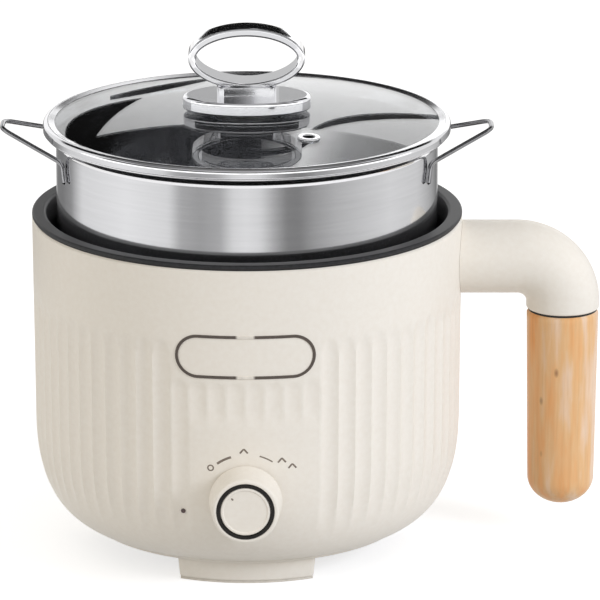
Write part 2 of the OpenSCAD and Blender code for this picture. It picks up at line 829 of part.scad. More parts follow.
module power_inlet() {
    color(dark) inlet_frame() difference() {
        union() {
            translate([0, 0, inlet_boss]) linear_extrude(bezel_t) rounded_rect(bezel_w, bezel_h, bezel_round);
            translate([0, 0, inlet_in]) linear_extrude(inlet_boss - inlet_in + eps)
                rounded_rect(inlet_tub().x, inlet_tub().y, inlet_wall);
        }
        translate([0, 0, inlet_floor]) linear_extrude(inlet_depth + cut)
            rounded_rect(inlet_w, inlet_h, inlet_wall - 1);
        for (p = pin_places()) translate([p.x, p.y, inlet_in + inlet_back / 2])
            cube([pin_size.x + 2 * fit_gap, pin_size.y + 2 * fit_gap, inlet_back + 2 * cut], center = true);
        for (x = [-1, 1]) translate([x * inlet_screw_x, 0, inlet_boss - cut])
            cylinder(r = inlet_screw_r + fit_gap, h = bezel_t + 2 * cut);
    }
}

module inlet_pins() {
    length = inlet_depth - pin_recess + inlet_back + pin_tail;
    color(brass) inlet_frame() for (p = pin_places()) translate([p.x, p.y, inlet_in - pin_tail + length / 2])
        cube([pin_size.x, pin_size.y, length], center = true);
}

module inlet_screws() {
    color(steel) inlet_frame() for (x = [-1, 1]) translate([x * inlet_screw_x, 0, 0]) {
        translate([0, 0, inlet_face]) cylinder(r = inlet_head_r, h = inlet_head_h);
        translate([0, 0, inlet_boss - inlet_screw_l + cut])
            cylinder(r = inlet_screw_r, h = inlet_screw_l + bezel_t);
    }
}

module terminal_block() {
    color(white) translate([-block_size.x / 2, block_y - block_size.y / 2, cover_top]) cube(block_size);
}

module terminal_screws() {
    color(brass) for (x = [-1, 1], y = [-1, 1])
        translate([x * pin_x, block_y + y * block_size.y / 4, cover_top + block_size.z])
        cylinder(r = block_screw_r, h = block_screw_h);
}

// One insulated lead through rounded corners
module lead(points) {
    radii = [for (i = [2 : len(points) - 1]) lead_bend];
    tube(rounded_path(points, radii, 5), lead_r, 8, [0.97, 0.2, 0.15]);
}

module wiring() {
    block_back = block_y + block_size.y / 2 + lead_end;
    block_front = block_y - block_size.y / 2 - lead_end;
    tail_y = inlet_in - pin_tail - lead_end;
    switch_y = -(switch_back - switch_tab_l - lead_end);
    pin_z = ring_z - leg_h - heater_pin_h / 2;
    end_x = ring_r * cos(leg_turns()[0]);
    end_y = ring_r * sin(leg_turns()[0]) - pin_r - lead_end;
    tail_z = inlet_z + pin_up;
    color([0.55, 0.30, 0.15]) for (x = [-pin_x, pin_x]) lead([
        [x, tail_y, tail_z], [x, lead_back_y, tail_z],
        [x, lead_back_y, lead_z], [x, block_back, lead_z]
    ]);
    color([0.15, 0.25, 0.55]) lead([
        [-pin_x, block_front, lead_z], [-switch_tab_x, lead_front_y, lead_z],
        [-switch_tab_x, lead_front_y, dial_z], [-switch_tab_x, switch_y, dial_z]
    ]);
    color([0.55, 0.30, 0.15]) lead([
        [switch_tab_x, switch_y, dial_z], [switch_tab_x, lead_front_y, dial_z],
        [-end_x, end_y - lead_run, pin_z], [-end_x, end_y, pin_z]
    ]);
    color([0.15, 0.25, 0.55]) lead([
        [end_x, end_y, pin_z], [end_x, lead_front_y, pin_z],
        [end_x, lead_front_y, lead_z], [pin_x, block_front, lead_z]
    ]);
}

// Pill outline for the badge, w wide and h high
module pill(w, h) {
    square([w - h, h], center = true);
    for (x = [-1, 1]) translate([x * (w - h) / 2, 0]) circle(h / 2);
}

module badge_frame() {
    seat = wall_r(badge_z + badge_h / 2) + fit_gap;
    color([0.45, 0.41, 0.36]) intersection() {
        ring(seat, seat + badge_proud, badge_z - badge_h, 2 * badge_h);
        translate([0, 0, badge_z]) rotate([90, 0, 0]) linear_extrude(body_d) difference() {
            pill(badge_w, badge_h);
            pill(badge_w - 2 * badge_line, badge_h - 2 * badge_line);
        }
    }
}

// Space that the shell's wall takes beside the arm, grown by g
module wall_space(g) {
    low = arm_z - arm_r - 2;
    high = arm_z + arm_r + 2;
    translate([0, 0, low]) cylinder(r1 = wall_r(low) + g, r2 = wall_r(high) + g, h = high - low);
}

module handle_arm() {
    color(cream) difference() {
        union() {
            translate([arm_start, 0, arm_z]) rotate([0, 90, 0])
                cylinder(r = arm_r, h = arm_end_x - arm_start);
            translate([arm_end_x, 0, arm_z - bend_r]) rotate([90, 0, 0]) rotate_extrude(angle = 90)
                translate([bend_r, 0]) circle(arm_r);
            translate([grip_x, 0, arm_low]) cylinder(r = arm_r, h = arm_stub);
        }
        wall_space(fit_gap);
        for (z = [-1, 1]) translate([arm_start, 0, arm_z + z * handle_screw_z]) rotate([0, 90, 0])
            cylinder(r = screw_r + fit_gap, h = body_r + handle_screw_l - arm_start);
        translate([grip_x, 0, arm_low - cut]) cylinder(r = rod_r + fit_gap, h = rod_up + 2 * cut);
    }
}

module handle_bracket() {
    color(steel) difference() {
        translate([0, 0, arm_z - bracket_half_h]) rotate([0, 0, -bracket_angle])
            rotate_extrude(angle = 2 * bracket_angle)
            translate([bracket_r - bracket_t, 0]) square([bracket_t, 2 * bracket_half_h]);
        for (z = [-1, 1]) translate([bracket_r - 2 * bracket_t, 0, arm_z + z * handle_screw_z])
            rotate([0, 90, 0]) cylinder(r = screw_r + fit_gap, h = 4 * bracket_t);
    }
}

module handle_screws() {
    seat_x = bracket_r - bracket_t - fit_gap;
    color(steel) for (z = [-1, 1]) translate([seat_x, 0, arm_z + z * handle_screw_z]) rotate([0, 90, 0]) {
        translate([0, 0, -handle_head_h]) cylinder(r = handle_head_r, h = handle_head_h);
        translate([0, 0, -eps]) cylinder(r = screw_r, h = handle_screw_l);
    }
}

module grip_ring() {
    color(dark) translate([grip_x, 0, 0]) ring(rod_r + fit_gap, grip_ring_r, grip_top, grip_ring_t);
}

module handle_grip() {
    tip = [0, grip_low + grip_tip];
    color(oak) translate([grip_x, 0, 0]) difference() {
        rotate_extrude() polygon(concat(
            [[0, grip_top], [grip_r - grip_chamfer, grip_top], [grip_r, grip_top - grip_chamfer]],
            quarter(tip, grip_r_low, grip_tip, 9)
        ));
        translate([0, 0, grip_top - rod_down - cut]) cylinder(r = rod_r + fit_gap, h = rod_down + 2 * cut);
        translate([0, 0, grip_top - insert_l]) cylinder(r = insert_r + fit_gap, h = insert_l + cut);
    }
}

module handle_rod() {
    color(steel) translate([grip_x, 0, grip_top - rod_down])
        cylinder(r = rod_r, h = rod_down + grip_ring_t + rod_up);
}

module grip_insert() {
    color(brass) translate([grip_x, 0, 0]) ring(rod_r + fit_gap, insert_r, grip_top - insert_l, insert_l);
}

module control_knob() {
    wall_top = knob_front - face_recess;
    bore = switch_nut_h + knob_bore_h;
    color(cream) dial_frame() difference() {
        rotate_extrude() polygon([
            [0, knob_back], [knob_r - knob_chamfer, knob_back], [knob_r, knob_back + knob_chamfer],
            [knob_face_r, knob_front - knob_edge], [knob_face_r - knob_edge / 3, knob_front - knob_edge / 3],
            [knob_face_r - knob_edge, knob_front], [0, knob_front]
        ]);
        translate([0, 0, wall_top]) cylinder(r = dial_ring_r + fit_gap, h = face_recess + cut);
        translate([0, 0, knob_back - cut]) cylinder(r = knob_bore_r, h = bore + cut);
        translate([0, 0, knob_back]) cylinder(r = shaft_r + fit_gap, h = shaft_end - knob_back + fit_gap);
        rotate([0, 0, 90 + dial_off_angle])
            translate([dial_ring_r + fit_gap, -mark_w / 2, knob_front - mark_depth])
            cube([knob_face_r, mark_w, mark_depth + cut]);
    }
}

module knob_ring() {
    color(graphite) dial_frame()
        ring(dial_ring_r - dial_ring_w, dial_ring_r, knob_front - face_recess, face_recess + ring_proud);
}

module knob_cap() {
    r = dial_ring_r - dial_ring_w - cap_gap;
    color(cream) dial_frame() translate([0, 0, knob_front - face_recess])
        rotate_extrude() polygon([
            [0, 0], [r, 0], [r, face_recess - cap_step.x], [r - cap_step.x, face_recess - cap_step.y],
            [r - cap_bevel, face_recess], [0, face_recess]
        ]);
}

module switch_shaft() {
    color(steel) dial_frame() difference() {
        translate([0, 0, shaft_in]) cylinder(r = shaft_r, h = shaft_end - shaft_in);
        translate([-shaft_r, shaft_r - flat_depth, bushing_end + cut])
            cube([2 * shaft_r, shaft_r, shaft_end - bushing_end]);
    }
}

module steamer_basket() {
    corner = [basket_r - basket_corner, basket_z + basket_corner];
    color(steel) difference() {
        rotate_extrude() polygon(concat(
            [[0, basket_z]],
            backwards(quarter(corner, basket_corner, basket_corner, 4)),
            [[basket_r, basket_top - flare_h], [basket_r + basket_rim, basket_top - rim_lip]],
            [[basket_r + basket_rim, basket_top], [basket_r + basket_rim - rim_lip, basket_top]],
            [[basket_r - basket_wall, basket_top - flare_h + basket_wall / 2]],
            quarter(corner, basket_corner - basket_wall, basket_corner - basket_wall, 4),
            [[0, basket_z + basket_wall]]
        ));
        translate([0, 0, basket_z - cut]) {
            cylinder(d = steam_hole, h = basket_wall + 2 * cut);
            for (i = [1 : steam_rings], k = [0 : 6 * i - 1]) rotate([0, 0, k * 60 / i])
                translate([i * steam_pitch, 0, 0]) cylinder(d = steam_hole, h = basket_wall + 2 * cut);
        }
    }
}

// A wire handle: two legs on the wall, bent outwards and up to a narrow round tip
module basket_handle() {
    leg_x = basket_r + wire_r + weld_gap;
    tip_x = basket_r + bail_reach;
    a = bail_angle;
    b = bail_angle + leg_lean;
    half = [
        [leg_x * cos(b), leg_x * sin(b), weld_z - leg_len],
        [leg_x * cos(a), leg_x * sin(a), weld_z],
        [tip_x, bail_tip, weld_z + bail_rise]
    ];
    points = concat(half, backwards([for (p = half) [p.x, -p.y, p.z]]));
    bends = [bail_bend, bail_tip_bend, bail_tip_bend, bail_bend];
    color(steel) tube(rounded_path(points, bends, 6), wire_r, 12, [-0.37, 0, 0.93]);
}
module basket_handle_right() basket_handle();
module basket_handle_left() rotate([0, 0, 180]) basket_handle();

// The dome's shell of glass between two spheres, cut at the rim
module dome(outer, inner) {
    rotate_extrude() intersection() {
        difference() {
            translate([0, dome_z]) circle(outer, $fn = 360);
            translate([0, dome_z]) circle(inner, $fn = 360);
        }
        translate([0, glass_edge - glass_t - cut]) square([glass_r, dome_rise + glass_t + 4 * cut]);
    }
}

module lid_glass() {
    color([0.80, 0.86, 0.86, 0.35]) difference() {
        dome(dome_r, dome_r - glass_t);
        translate([0, 0, inner_washer_z]) cylinder(r = lid_hole_r, h = 4 * glass_t);
        vent_frame() translate([0, 0, -2 * glass_t]) cylinder(r = vent_tube_r + fit_gap, h = 4 * glass_t);
    }
}

// Band with a groove that takes the edge of the glass
module lid_rim() {
    color(steel) difference() {
        ring(lid_r - band_w, lid_r, lid_z, band_h);
        dome(dome_r + fit_gap, dome_r - glass_t - fit_gap);
        ring(0, glass_r + fit_gap, glass_edge - glass_t, glass_t);
    }
}

module lid_vent() {
    color(steel) vent_frame() difference() {
        union() {
            translate([0, 0, fit_gap]) cylinder(r = vent_flange_r, h = vent_lip);
            translate([0, 0, -glass_t - fit_gap - vent_lip]) cylinder(r = vent_flange_r, h = vent_lip);
            translate([0, 0, -glass_t - vent_lip]) cylinder(r = vent_tube_r, h = glass_t + 1.5 * vent_lip);
        }
        translate([0, 0, -2 * glass_t]) cylinder(r = vent_hole_r, h = 4 * glass_t);
    }
}

// Height of the dome's outer face at a radius
function dome_at(r) = dome_z + sqrt(pow(dome_r, 2) - pow(r, 2));

module knob_washer() {
    steps = 4;
    radii = [for (i = [0 : steps]) lid_hole_r + (soft_r - lid_hole_r) * i / steps];
    color(white) rotate_extrude() polygon(concat(
        [for (r = radii) [r, dome_at(r) + fit_gap]],
        [[soft_r, disc_z], [lid_hole_r, disc_z]]
    ));
}

module knob_disc() {
    color(chrome) difference() {
        scale([1, disc_depth / disc_w, 1]) rotate_extrude() polygon(concat(
            [[0, disc_z], [disc_r - disc_chamfer, disc_z], [disc_r, disc_z + disc_chamfer]],
            [for (p = quarter([disc_r - disc_round, 0], disc_round, disc_round, 4))
                [p.x, disc_top - disc_round - p.y]],
            [[0, disc_top]]
        ));
        translate([0, 0, disc_z - cut]) cylinder(r = lid_screw_r + fit_gap, h = disc_t + 2 * cut);
    }
}

function ellipse(rx, ry) = [for (i = [0 : 71]) [rx * cos(5 * i), ry * sin(5 * i)]];

module lid_loop() {
    color(chrome) difference() {
        union() {
            translate([0, 0, loop_z]) rotate([90, 0, 0]) linear_extrude(loop_depth, center = true)
                polygon(ellipse(loop_w / 2, loop_h / 2));
            translate([-post_w / 2, -post_depth / 2, disc_top]) cube([post_w, post_depth, post_h + loop_t]);
        }
        translate([0, 0, loop_z]) rotate([90, 0, 0]) linear_extrude(2 * loop_depth, center = true)
            polygon(ellipse(loop_w / 2 - loop_t, loop_h / 2 - loop_t));
        translate([0, 0, disc_top - cut])
            cylinder(r = lid_screw_r + fit_gap, h = lid_screw_end - disc_top + 2 * cut);
    }
}

module lid_screw() {
    head_z = inner_washer_z - lid_head_h;
    color(steel) translate([0, 0, head_z]) {
        cylinder(r = lid_head_r, h = lid_head_h);
        cylinder(r = lid_screw_r, h = lid_screw_end - head_z);
    }
}

module screw_washer() {
    color(rubber) ring(lid_screw_r + fit_gap, inner_washer_r, inner_washer_z, inner_washer_t);
}

outer_shell();
base_cover();
foot_pads();
base_screws();
inner_pot();
pot_collar();
pot_standoffs();
rim_seal();
heating_plate();
heating_ring();
heater_terminals();
heat_shield();
shield_studs();
shield_nuts();
thermostat();
thermostat_strap();
strap_screws();
thermal_fuse();
fuse_clip();
rotary_switch();
switch_nut();
indicator_lens();
indicator_lamp();
power_inlet();
inlet_pins();
inlet_screws();
terminal_block();
terminal_screws();
wiring();
badge_frame();
handle_arm();
handle_bracket();
handle_screws();
grip_ring();
handle_grip();
handle_rod();
grip_insert();
control_knob();
knob_ring();
knob_cap();
switch_shaft();
steamer_basket();
basket_handle_left();
basket_handle_right();
lid_glass();
lid_rim();
lid_vent();
knob_washer();
knob_disc();
lid_loop();
lid_screw();
screw_washer();
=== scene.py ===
"""Looks of an electric steamer pot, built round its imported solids.

Every piece is a surface worked out as whole arrays: a profile carried round an axis, a section
carried along a path, or outlines joined one after another. All lengths are in metres.
"""

import json
import math

import bmesh
import bpy
import numpy as np
from bpy.props import FloatProperty, FloatVectorProperty, IntProperty, PointerProperty
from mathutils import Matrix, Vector


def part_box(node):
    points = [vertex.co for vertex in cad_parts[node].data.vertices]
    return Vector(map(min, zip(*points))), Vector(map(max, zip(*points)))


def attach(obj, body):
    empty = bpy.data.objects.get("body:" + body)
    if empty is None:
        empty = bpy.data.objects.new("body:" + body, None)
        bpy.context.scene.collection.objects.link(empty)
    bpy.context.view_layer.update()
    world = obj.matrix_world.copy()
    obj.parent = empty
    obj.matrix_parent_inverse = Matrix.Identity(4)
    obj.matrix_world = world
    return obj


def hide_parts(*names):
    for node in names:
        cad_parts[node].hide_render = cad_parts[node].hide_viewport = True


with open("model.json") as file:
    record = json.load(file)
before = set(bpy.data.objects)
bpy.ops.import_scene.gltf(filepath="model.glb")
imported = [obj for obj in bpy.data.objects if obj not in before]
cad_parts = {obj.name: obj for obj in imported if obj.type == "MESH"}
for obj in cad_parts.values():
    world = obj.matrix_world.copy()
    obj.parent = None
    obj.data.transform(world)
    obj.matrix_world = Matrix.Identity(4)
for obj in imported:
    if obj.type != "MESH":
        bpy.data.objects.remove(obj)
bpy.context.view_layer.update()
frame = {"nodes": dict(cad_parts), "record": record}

bl_info = {
    "name": "Steamer pot looks",
    "version": (1, 0, 0),
    "blender": (4, 5, 0),
    "location": "View3D > Sidebar > Steamer",
    "description": "Dresses the steamer pot's solids with detailed pieces and finishes",
    "category": "Object",
}

MM = 0.001
SEAM = 0.001 * MM
EASING = 0.01 * MM


def low(node):
    """Lowest corner of a solid."""
    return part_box(node)[0]


def high(node):
    """Highest corner of a solid."""
    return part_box(node)[1]


# Places that the solids give
RIM_Z = high("outer_shell").z
BODY_R = high("outer_shell").x
PAD_TOP = high("foot_pads").z
COVER_TOP = low("terminal_block").z
POT_TOP = high("pot_collar").z
POT_BASE = low("inner_pot").z
BASKET_Z = low("steamer_basket").z
BASKET_TOP = high("steamer_basket").z
BASKET_RIM = high("steamer_basket").x
BAND_Z = low("lid_rim").z
BAND_R = high("lid_rim").x
GLASS_TOP = high("lid_glass").z
GLASS_R = high("lid_glass").x
DISC_Z = low("knob_disc").z
DISC_TOP = high("knob_disc").z
DISC_R = high("knob_disc").x
DISC_DEPTH = high("knob_disc").y
LOOP_TOP = high("lid_loop").z
LOOP_HALF = high("lid_loop").x
ARM_R = high("handle_arm").y
ARM_Z = high("handle_arm").z - ARM_R
ARM_LOW = low("handle_arm").z
GRIP_X = high("handle_arm").x - ARM_R
GRIP_R = high("handle_grip").y
GRIP_TOP = high("handle_grip").z
GRIP_LOW = low("handle_grip").z
DIAL_Z = (low("control_knob").z + high("control_knob").z) / 2
KNOB_R = high("control_knob").x
KNOB_BACK = -high("control_knob").y
KNOB_FRONT = -low("control_knob").y
SHAFT_END = -low("switch_shaft").y
INLET_FACE = high("power_inlet").y
INLET_IN = low("power_inlet").y
INLET_Z = (low("power_inlet").z + high("power_inlet").z) / 2

# Sizes that several shapes share
INLET_SEAT = INLET_FACE - 2 * MM
CAP_FACE = KNOB_FRONT - 0.35 * MM


def shade(red, green, blue):
    """Linear colour of a screen colour whose parts run from 0 to 255."""
    part = np.array((red, green, blue)) / 255
    return tuple(np.where(part <= 0.04045, part / 12.92, ((part + 0.055) / 1.055) ** 2.4))


def size(name, words, millimetres):
    """A length that a user may change."""
    return FloatProperty(name=name, description=words, default=millimetres * MM, unit="LENGTH", precision=5)


def turn(name, words, degrees):
    """An angle that a user may change."""
    return FloatProperty(name=name, description=words, default=math.radians(degrees), subtype="ANGLE")


def colour(name, words, *parts):
    """A colour that a user may change, written as a screen colour."""
    return FloatVectorProperty(name=name, description=words, default=shade(*parts), subtype="COLOR")


def number(name, words, value, kind="NONE"):
    """A number that a user may change, with its kind of unit."""
    return FloatProperty(name=name, description=words, default=value, unit=kind)


def count(name, words, value):
    """A count that a user may change."""
    return IntProperty(name=name, description=words, default=value)


# Sizes and colours that a user may change


class SteamerBody(bpy.types.PropertyGroup):
    """Sizes of the shell, the base and the pot."""

    wall: size("Wall", "Wall of the outer shell", 2.6)
    draft: size("Draft", "Radius that the wall loses from rim to shoulder", 0.55)
    shoulder_z: size("Shoulder", "Height where the rounded corner starts", 65.2)
    corner_w: size("Corner width", "Radial depth of the rounded corner", 39.7)
    corner_h: size("Corner height", "Height of the rounded corner", 55.4)
    corner_n: number("Squareness", "Power of the corner's squared ellipse", 2.7)
    rim_round: size("Rim round", "Radius of the shell's upper edge", 0.8)
    flutes: count("Flutes", "Number of flutes around the wall", 72)
    flute_depth: size("Flute depth", "Depth of a flute at its middle", 1.0)
    flute_top: size("Flute top", "Height of the flutes' round upper ends", 119)
    flute_end: size("Flute end", "Length over which a flute's end rounds out", 9)
    fade_low: size("Fade low", "Height where the flutes have run out", 24)
    fade_high: size("Fade high", "Height where the flutes start to run out", 44)
    badge_low: size("Badge field", "Lower edge of the plain field behind the badge frame", 101.1)
    badge_angle: turn("Badge angle", "Half angle of the plain field behind the badge frame", 19.5)
    panel_z: size("Panel top", "Height of the plain panel round the dial", 79)
    panel_angle: turn("Panel angle", "Half angle of the plain panel", 16)
    panel_turn: turn("Panel turn", "Turn of the plain panel's middle to the right of the front", 2.5)
    cover_r: size("Cover radius", "Radius of the base cover", 72)
    cover_t: size("Cover thickness", "Thickness of the base cover", 2.6)
    foot_mid: size("Foot circle", "Radius of the circle through the feet's middles", 60)
    foot_w: size("Foot width", "Radial width of a foot", 19)
    foot_angle: turn("Foot angle", "Angle that a foot spans", 53)
    foot_round: size("Foot round", "Radius of a foot's lower edge", 0.8)
    screw_circle: size("Screw circle", "Radius of the circle of base screws", 64)
    pot_r: size("Pot radius", "Inner radius of the pot below its ledge", 80.5)
    pot_top_r: size("Pot upper radius", "Inner radius of the pot above its ledge", 87.2)
    ledge_z: size("Ledge", "Height of the ledge that carries the basket", 129.3)
    pot_wall: size("Pot wall", "Sheet thickness of the pot", 1.5)


class SteamerDial(bpy.types.PropertyGroup):
    """Sizes of the dial, its marks and the frame above it."""

    face_r: size("Face radius", "Radius of the dial at its face", 14.4)
    ring_r: size("Ring radius", "Outer radius of the dark ring", 12.5)
    ring_w: size("Ring width", "Width of the dark ring", 1.5)
    recess: size("Recess", "Depth of the dial's face", 1.5)
    off_angle: turn("Off position", "Turn of the pointer, left of straight up", 45)
    mark_r: size("Mark radius", "Radius of the printed arc about the dial", 20.6)
    print_w: size("Print width", "Width of a printed line", 0.75)
    frame_z: size("Frame height", "Height of the badge frame's middle", 112.4)
    frame_w: size("Frame width", "Width of the badge frame", 61)
    frame_h: size("Frame height across", "Height of the badge frame", 19.5)
    frame_line: size("Frame line", "Width of the badge frame's line", 1.3)


class SteamerBasket(bpy.types.PropertyGroup):
    """Sizes of the steaming basket and its wire handles."""

    wall_r: size("Wall radius", "Outer radius of the basket", 85)
    sheet: size("Sheet", "Sheet thickness of the basket", 0.8)
    corner: size("Corner", "Radius of the lower corner", 4)
    flare: size("Flare", "Height of the flared rim", 4.3)
    hole: size("Steam hole", "Diameter of a steam hole", 5)
    pitch: size("Hole pitch", "Distance between the rings of holes", 15.5)
    rings: count("Hole rings", "Number of rings of steam holes", 4)
    wire_r: size("Wire radius", "Radius of the handle wire", 1.1)
    weld_gap: size("Weld gap", "Gap between a leg and the wall", 0.15)
    weld_drop: size("Weld drop", "Distance of the bend below the rim", 8.5)
    leg: size("Leg", "Length of a leg along the wall", 9)
    reach: size("Reach", "Distance of the tip from the wall", 23.6)
    rise: size("Rise", "Rise from the bend to the tip", 10.2)
    spread: turn("Spread", "Half angle between the legs", 20)
    lean: turn("Lean", "Angle that a leg leans outwards", 2)
    tip: size("Tip", "Half width of the tip", 7.7)


class SteamerLid(bpy.types.PropertyGroup):
    """Sizes of the lid and its knob."""

    rise: size("Dome rise", "Rise of the glass dome", 5.1)
    glass: size("Glass", "Thickness of the glass", 2.8)
    band_wall: size("Band wall", "Wall of the steel band", 1.05)
    band_w: size("Band lip", "Width of the band's lower lip", 3.5)
    bead_w: size("Bead width", "Width of the bead over the glass edge", 5.2)
    vent_r: size("Vent radius", "Distance of the vent from the axis", 52.5)
    vent_turn: turn("Vent turn", "Turn of the vent about the axis", -58.5)
    post_w: size("Post width", "Width of the block under the loop", 26)
    post_d: size("Post depth", "Depth of the block under the loop", 22)
    loop_h: size("Loop height", "Height of the loop", 27)
    loop_top_t: size("Loop thickness above", "Thickness of the loop's band at its top", 3.7)
    loop_low_t: size("Loop thickness below", "Thickness of the loop's band at its foot", 2.3)
    loop_top_d: size("Loop depth above", "Depth of the loop's band at its top", 13.4)
    loop_low_d: size("Loop depth below", "Depth of the loop's band at its foot", 17)


class SteamerHandle(bpy.types.PropertyGroup):
    """Sizes of the handle."""

    bend: size("Bend", "Bend radius of the arm's centre line", 20.7)
    edge: size("Arm edge", "Radius of the arm's lower edge", 0.9)
    grip_low_r: size("Grip low radius", "Radius of the grip above its round end", 14.95)
    grip_tip: size("Grip tip", "Height of the grip's round end", 12.5)
    knot_high: size("Upper knot", "Height of the upper knot in the wood", 67)
    knot_low: size("Lower knot", "Height of the lower knot in the wood", 42)


class SteamerColours(bpy.types.PropertyGroup):
    """Colours of the finishes."""

    cream: colour("Cream", "Satin cream moulding", 240, 234, 223)
    cream_low: colour("Cream shade", "Darker grains of the cream moulding", 237, 230, 218)
    coating: colour("Pot coating", "Dark coating of the pot", 44, 44, 46)
    steel: colour("Steel", "Polished steel", 226, 226, 228)
    chrome: colour("Chrome", "Bright plated metal", 236, 236, 238)
    wood: colour("Wood", "Honey-coloured wood", 233, 187, 134)
    # Painted highlight: the palest wood colours the grip's side away from the pot, the side that faces the
    # key light.
    lit_wood: colour("Lit wood", "Palest wood, away from the pot", 237, 205, 175)
    # Partly grain and partly painted shade: the darker wood gathers on the grip's side towards the pot.
    wood_dark: colour("Wood grain", "Darker grain of the wood", 236, 166, 98)
    knot: colour("Knot", "Knots in the wood", 104, 62, 36)
    frame: colour("Frame line", "Brown line of the badge frame", 84, 74, 66)
    ink: colour("Ink", "Grey-brown print round the dial", 112, 101, 90)
    ring: colour("Dial ring", "Dark ring on the dial", 36, 33, 30)


class SteamerStage(bpy.types.PropertyGroup):
    """Camera and light."""

    distance: size("Distance", "Distance of the camera from its aim", 2400)
    elevation: turn("Elevation", "Height of the camera above the horizon", 16.12)
    lens: number("Lens", "Focal length in millimetres", 320.8, "CAMERA")
    aim_x: size("Aim across", "Point that the camera looks at, across", 23.6)
    aim_z: size("Aim height", "Point that the camera looks at, upwards", 110.7)
    sky: number("Sky light", "Strength of the even light", 0.64)
    key: number("Key light", "Power of the right softbox in watts", 34, "POWER")
    fill: number("Fill light", "Power of the left softbox in watts", 8, "POWER")


GROUPS = {
    "steamer_body": SteamerBody,
    "steamer_dial": SteamerDial,
    "steamer_basket": SteamerBasket,
    "steamer_lid": SteamerLid,
    "steamer_handle": SteamerHandle,
    "steamer_colours": SteamerColours,
    "steamer_stage": SteamerStage,
}


# Curves and surfaces


def unit(vectors):
    """Vectors scaled to length one."""
    return vectors / np.linalg.norm(vectors, axis=-1, keepdims=True)


def ease(start, end, x):
    """Smooth step from 0 at start to 1 at end: 3 t squared less 2 t cubed."""
    t = np.clip((x - start) / (end - start), 0, 1)
    return t * t * (3 - 2 * t)


def rounded(corners, radii, steps, closed=True):
    """A line through corner points, each corner replaced by an arc that touches both its sides.

    The arc's centre lies on the corner's bisector, radius over the sine of the half angle away, and
    the arc turns from one touching point to the other as a great circle does. A point just before and
    just after it keeps the flat sides flat when shaded. An open line keeps its two end points.
    """
    p = np.asarray(corners, float)
    r = np.broadcast_to(np.asarray(radii, float), len(p))[:, None]
    before = unit(np.roll(p, 1, 0) - p)
    after = unit(np.roll(p, -1, 0) - p)
    half = np.arccos(np.clip((before * after).sum(-1, keepdims=True), -1, 1)) / 2
    middle = p + unit(before + after) * r / np.sin(half)
    start = (p + before * r / np.tan(half) - middle)[:, None]
    end = (p + after * r / np.tan(half) - middle)[:, None]
    bend = (math.pi - 2 * half)[:, None]
    t = np.linspace(0, 1, steps)[None, :, None]
    arcs = middle[:, None] + (np.sin((1 - t) * bend) * start + np.sin(t * bend) * end) / np.sin(bend)
    rest = np.minimum(r, EASING)[:, None]
    first, last = arcs[:, :1] + before[:, None] * rest, arcs[:, -1:] + after[:, None] * rest
    arcs = np.concatenate([first, arcs, last], 1)
    if closed:
        return arcs.reshape(-1, p.shape[1])
    return np.vstack([p[:1], arcs[1:-1].reshape(-1, p.shape[1]), p[-1:]])


def lengths(line):
    """Distance along a line at each of its points."""
    return np.concatenate([[0], np.cumsum(np.linalg.norm(np.diff(line, axis=0), axis=1))])


def runs(line, closed):
    """Direction of a line at each of its points."""
    return unit(np.roll(line, -1, 0) - np.roll(line, 1, 0) if closed else np.gradient(line, axis=0))


def evenly(line, step):
    """Points at even distances along a line, about a step apart."""
    run = lengths(line)
    at = np.linspace(0, run[-1], int(run[-1] / step) + 2)
    return np.stack([np.interp(at, run, column) for column in line.T], -1)


def grid(points, ring=True, loop=False):
    """Points of a grid with a four-sided face between neighbours.

    A ring joins the last column to the first, and a loop the last row to the first.
    """
    rows, columns = points.shape[:2]
    row = np.arange(rows if loop else rows - 1)
    column = np.arange(columns if ring else columns - 1)
    i, j = np.meshgrid(row, column, indexing="ij")
    below = (i + 1) % rows * columns
    beside = (j + 1) % columns
    faces = np.stack([i * columns + j, i * columns + beside, below + beside, below + j], -1)
    return points.reshape(-1, 3), faces.reshape(-1, 4)


def capped(points):
    """Rows of a grid with its two ends drawn together to their middles."""
    ends = [np.repeat(points[row].mean(0)[None], points.shape[1], 0)[None] for row in (0, -1)]
    return np.concatenate([ends[0], points, ends[1]])


def polar(r, a, z):
    """Points by their distance from an upright axis, turn and height: x = r cos a, y = r sin a."""
    return np.stack(np.broadcast_arrays(r * np.cos(a), r * np.sin(a), z), -1)


def lathe(profile, columns, centre=(0, 0), loop=True):
    """A profile of radius and height carried round an upright axis. A loop profile closes on itself."""
    a = np.arange(columns) * math.tau / columns
    r, h = np.asarray(profile).T[:, :, None]
    return grid(polar(r, a, h) + [*centre, 0], loop=loop)


def turned(corners, steps, columns, loop=False):
    """Corners turned about an upright axis: each has a radius, a height and how far it is rounded."""
    corners = np.array(corners)
    return lathe(rounded(corners[:, :2], corners[:, 2], steps, loop), columns, loop=loop)


def seated(part, origin, across, up, out):
    """A part moved out of its own frame: its x goes across, its y up and its z out of the seat."""
    points, faces = part
    return points @ np.array([across, up, out], float) + np.array(origin), faces


def swept(path, section, up, loop=False):
    """A flat section carried along a path: path + x side + y top, both square to the path's run.

    The side is the run crossed with up, and the top is the side crossed with the run. The section
    may differ from point to point.
    """
    run = runs(path, loop)
    side = unit(np.cross(run, up))
    top = np.cross(side, run)
    x, y = np.moveaxis(np.broadcast_to(section, (len(path),) + np.shape(section)[-2:]), -1, 0)
    return path[:, None] + x[..., None] * side[:, None] + y[..., None] * top[:, None]


def circle(radius, columns):
    """Points of a circle."""
    a = np.arange(columns) * math.tau / columns
    return radius * np.stack([np.cos(a), np.sin(a)], -1)


def box_outline(width, height, radius, steps=8):
    """A rectangle with round corners."""
    x, y = width / 2, height / 2
    return rounded([(x, y), (-x, y), (-x, -y), (x, -y)], radius, steps)


def stacked(outlines, heights):
    """Outlines of equal count, each at its height."""
    return np.stack([np.column_stack([o, np.full(len(o), h)]) for o, h in zip(outlines, heights)])


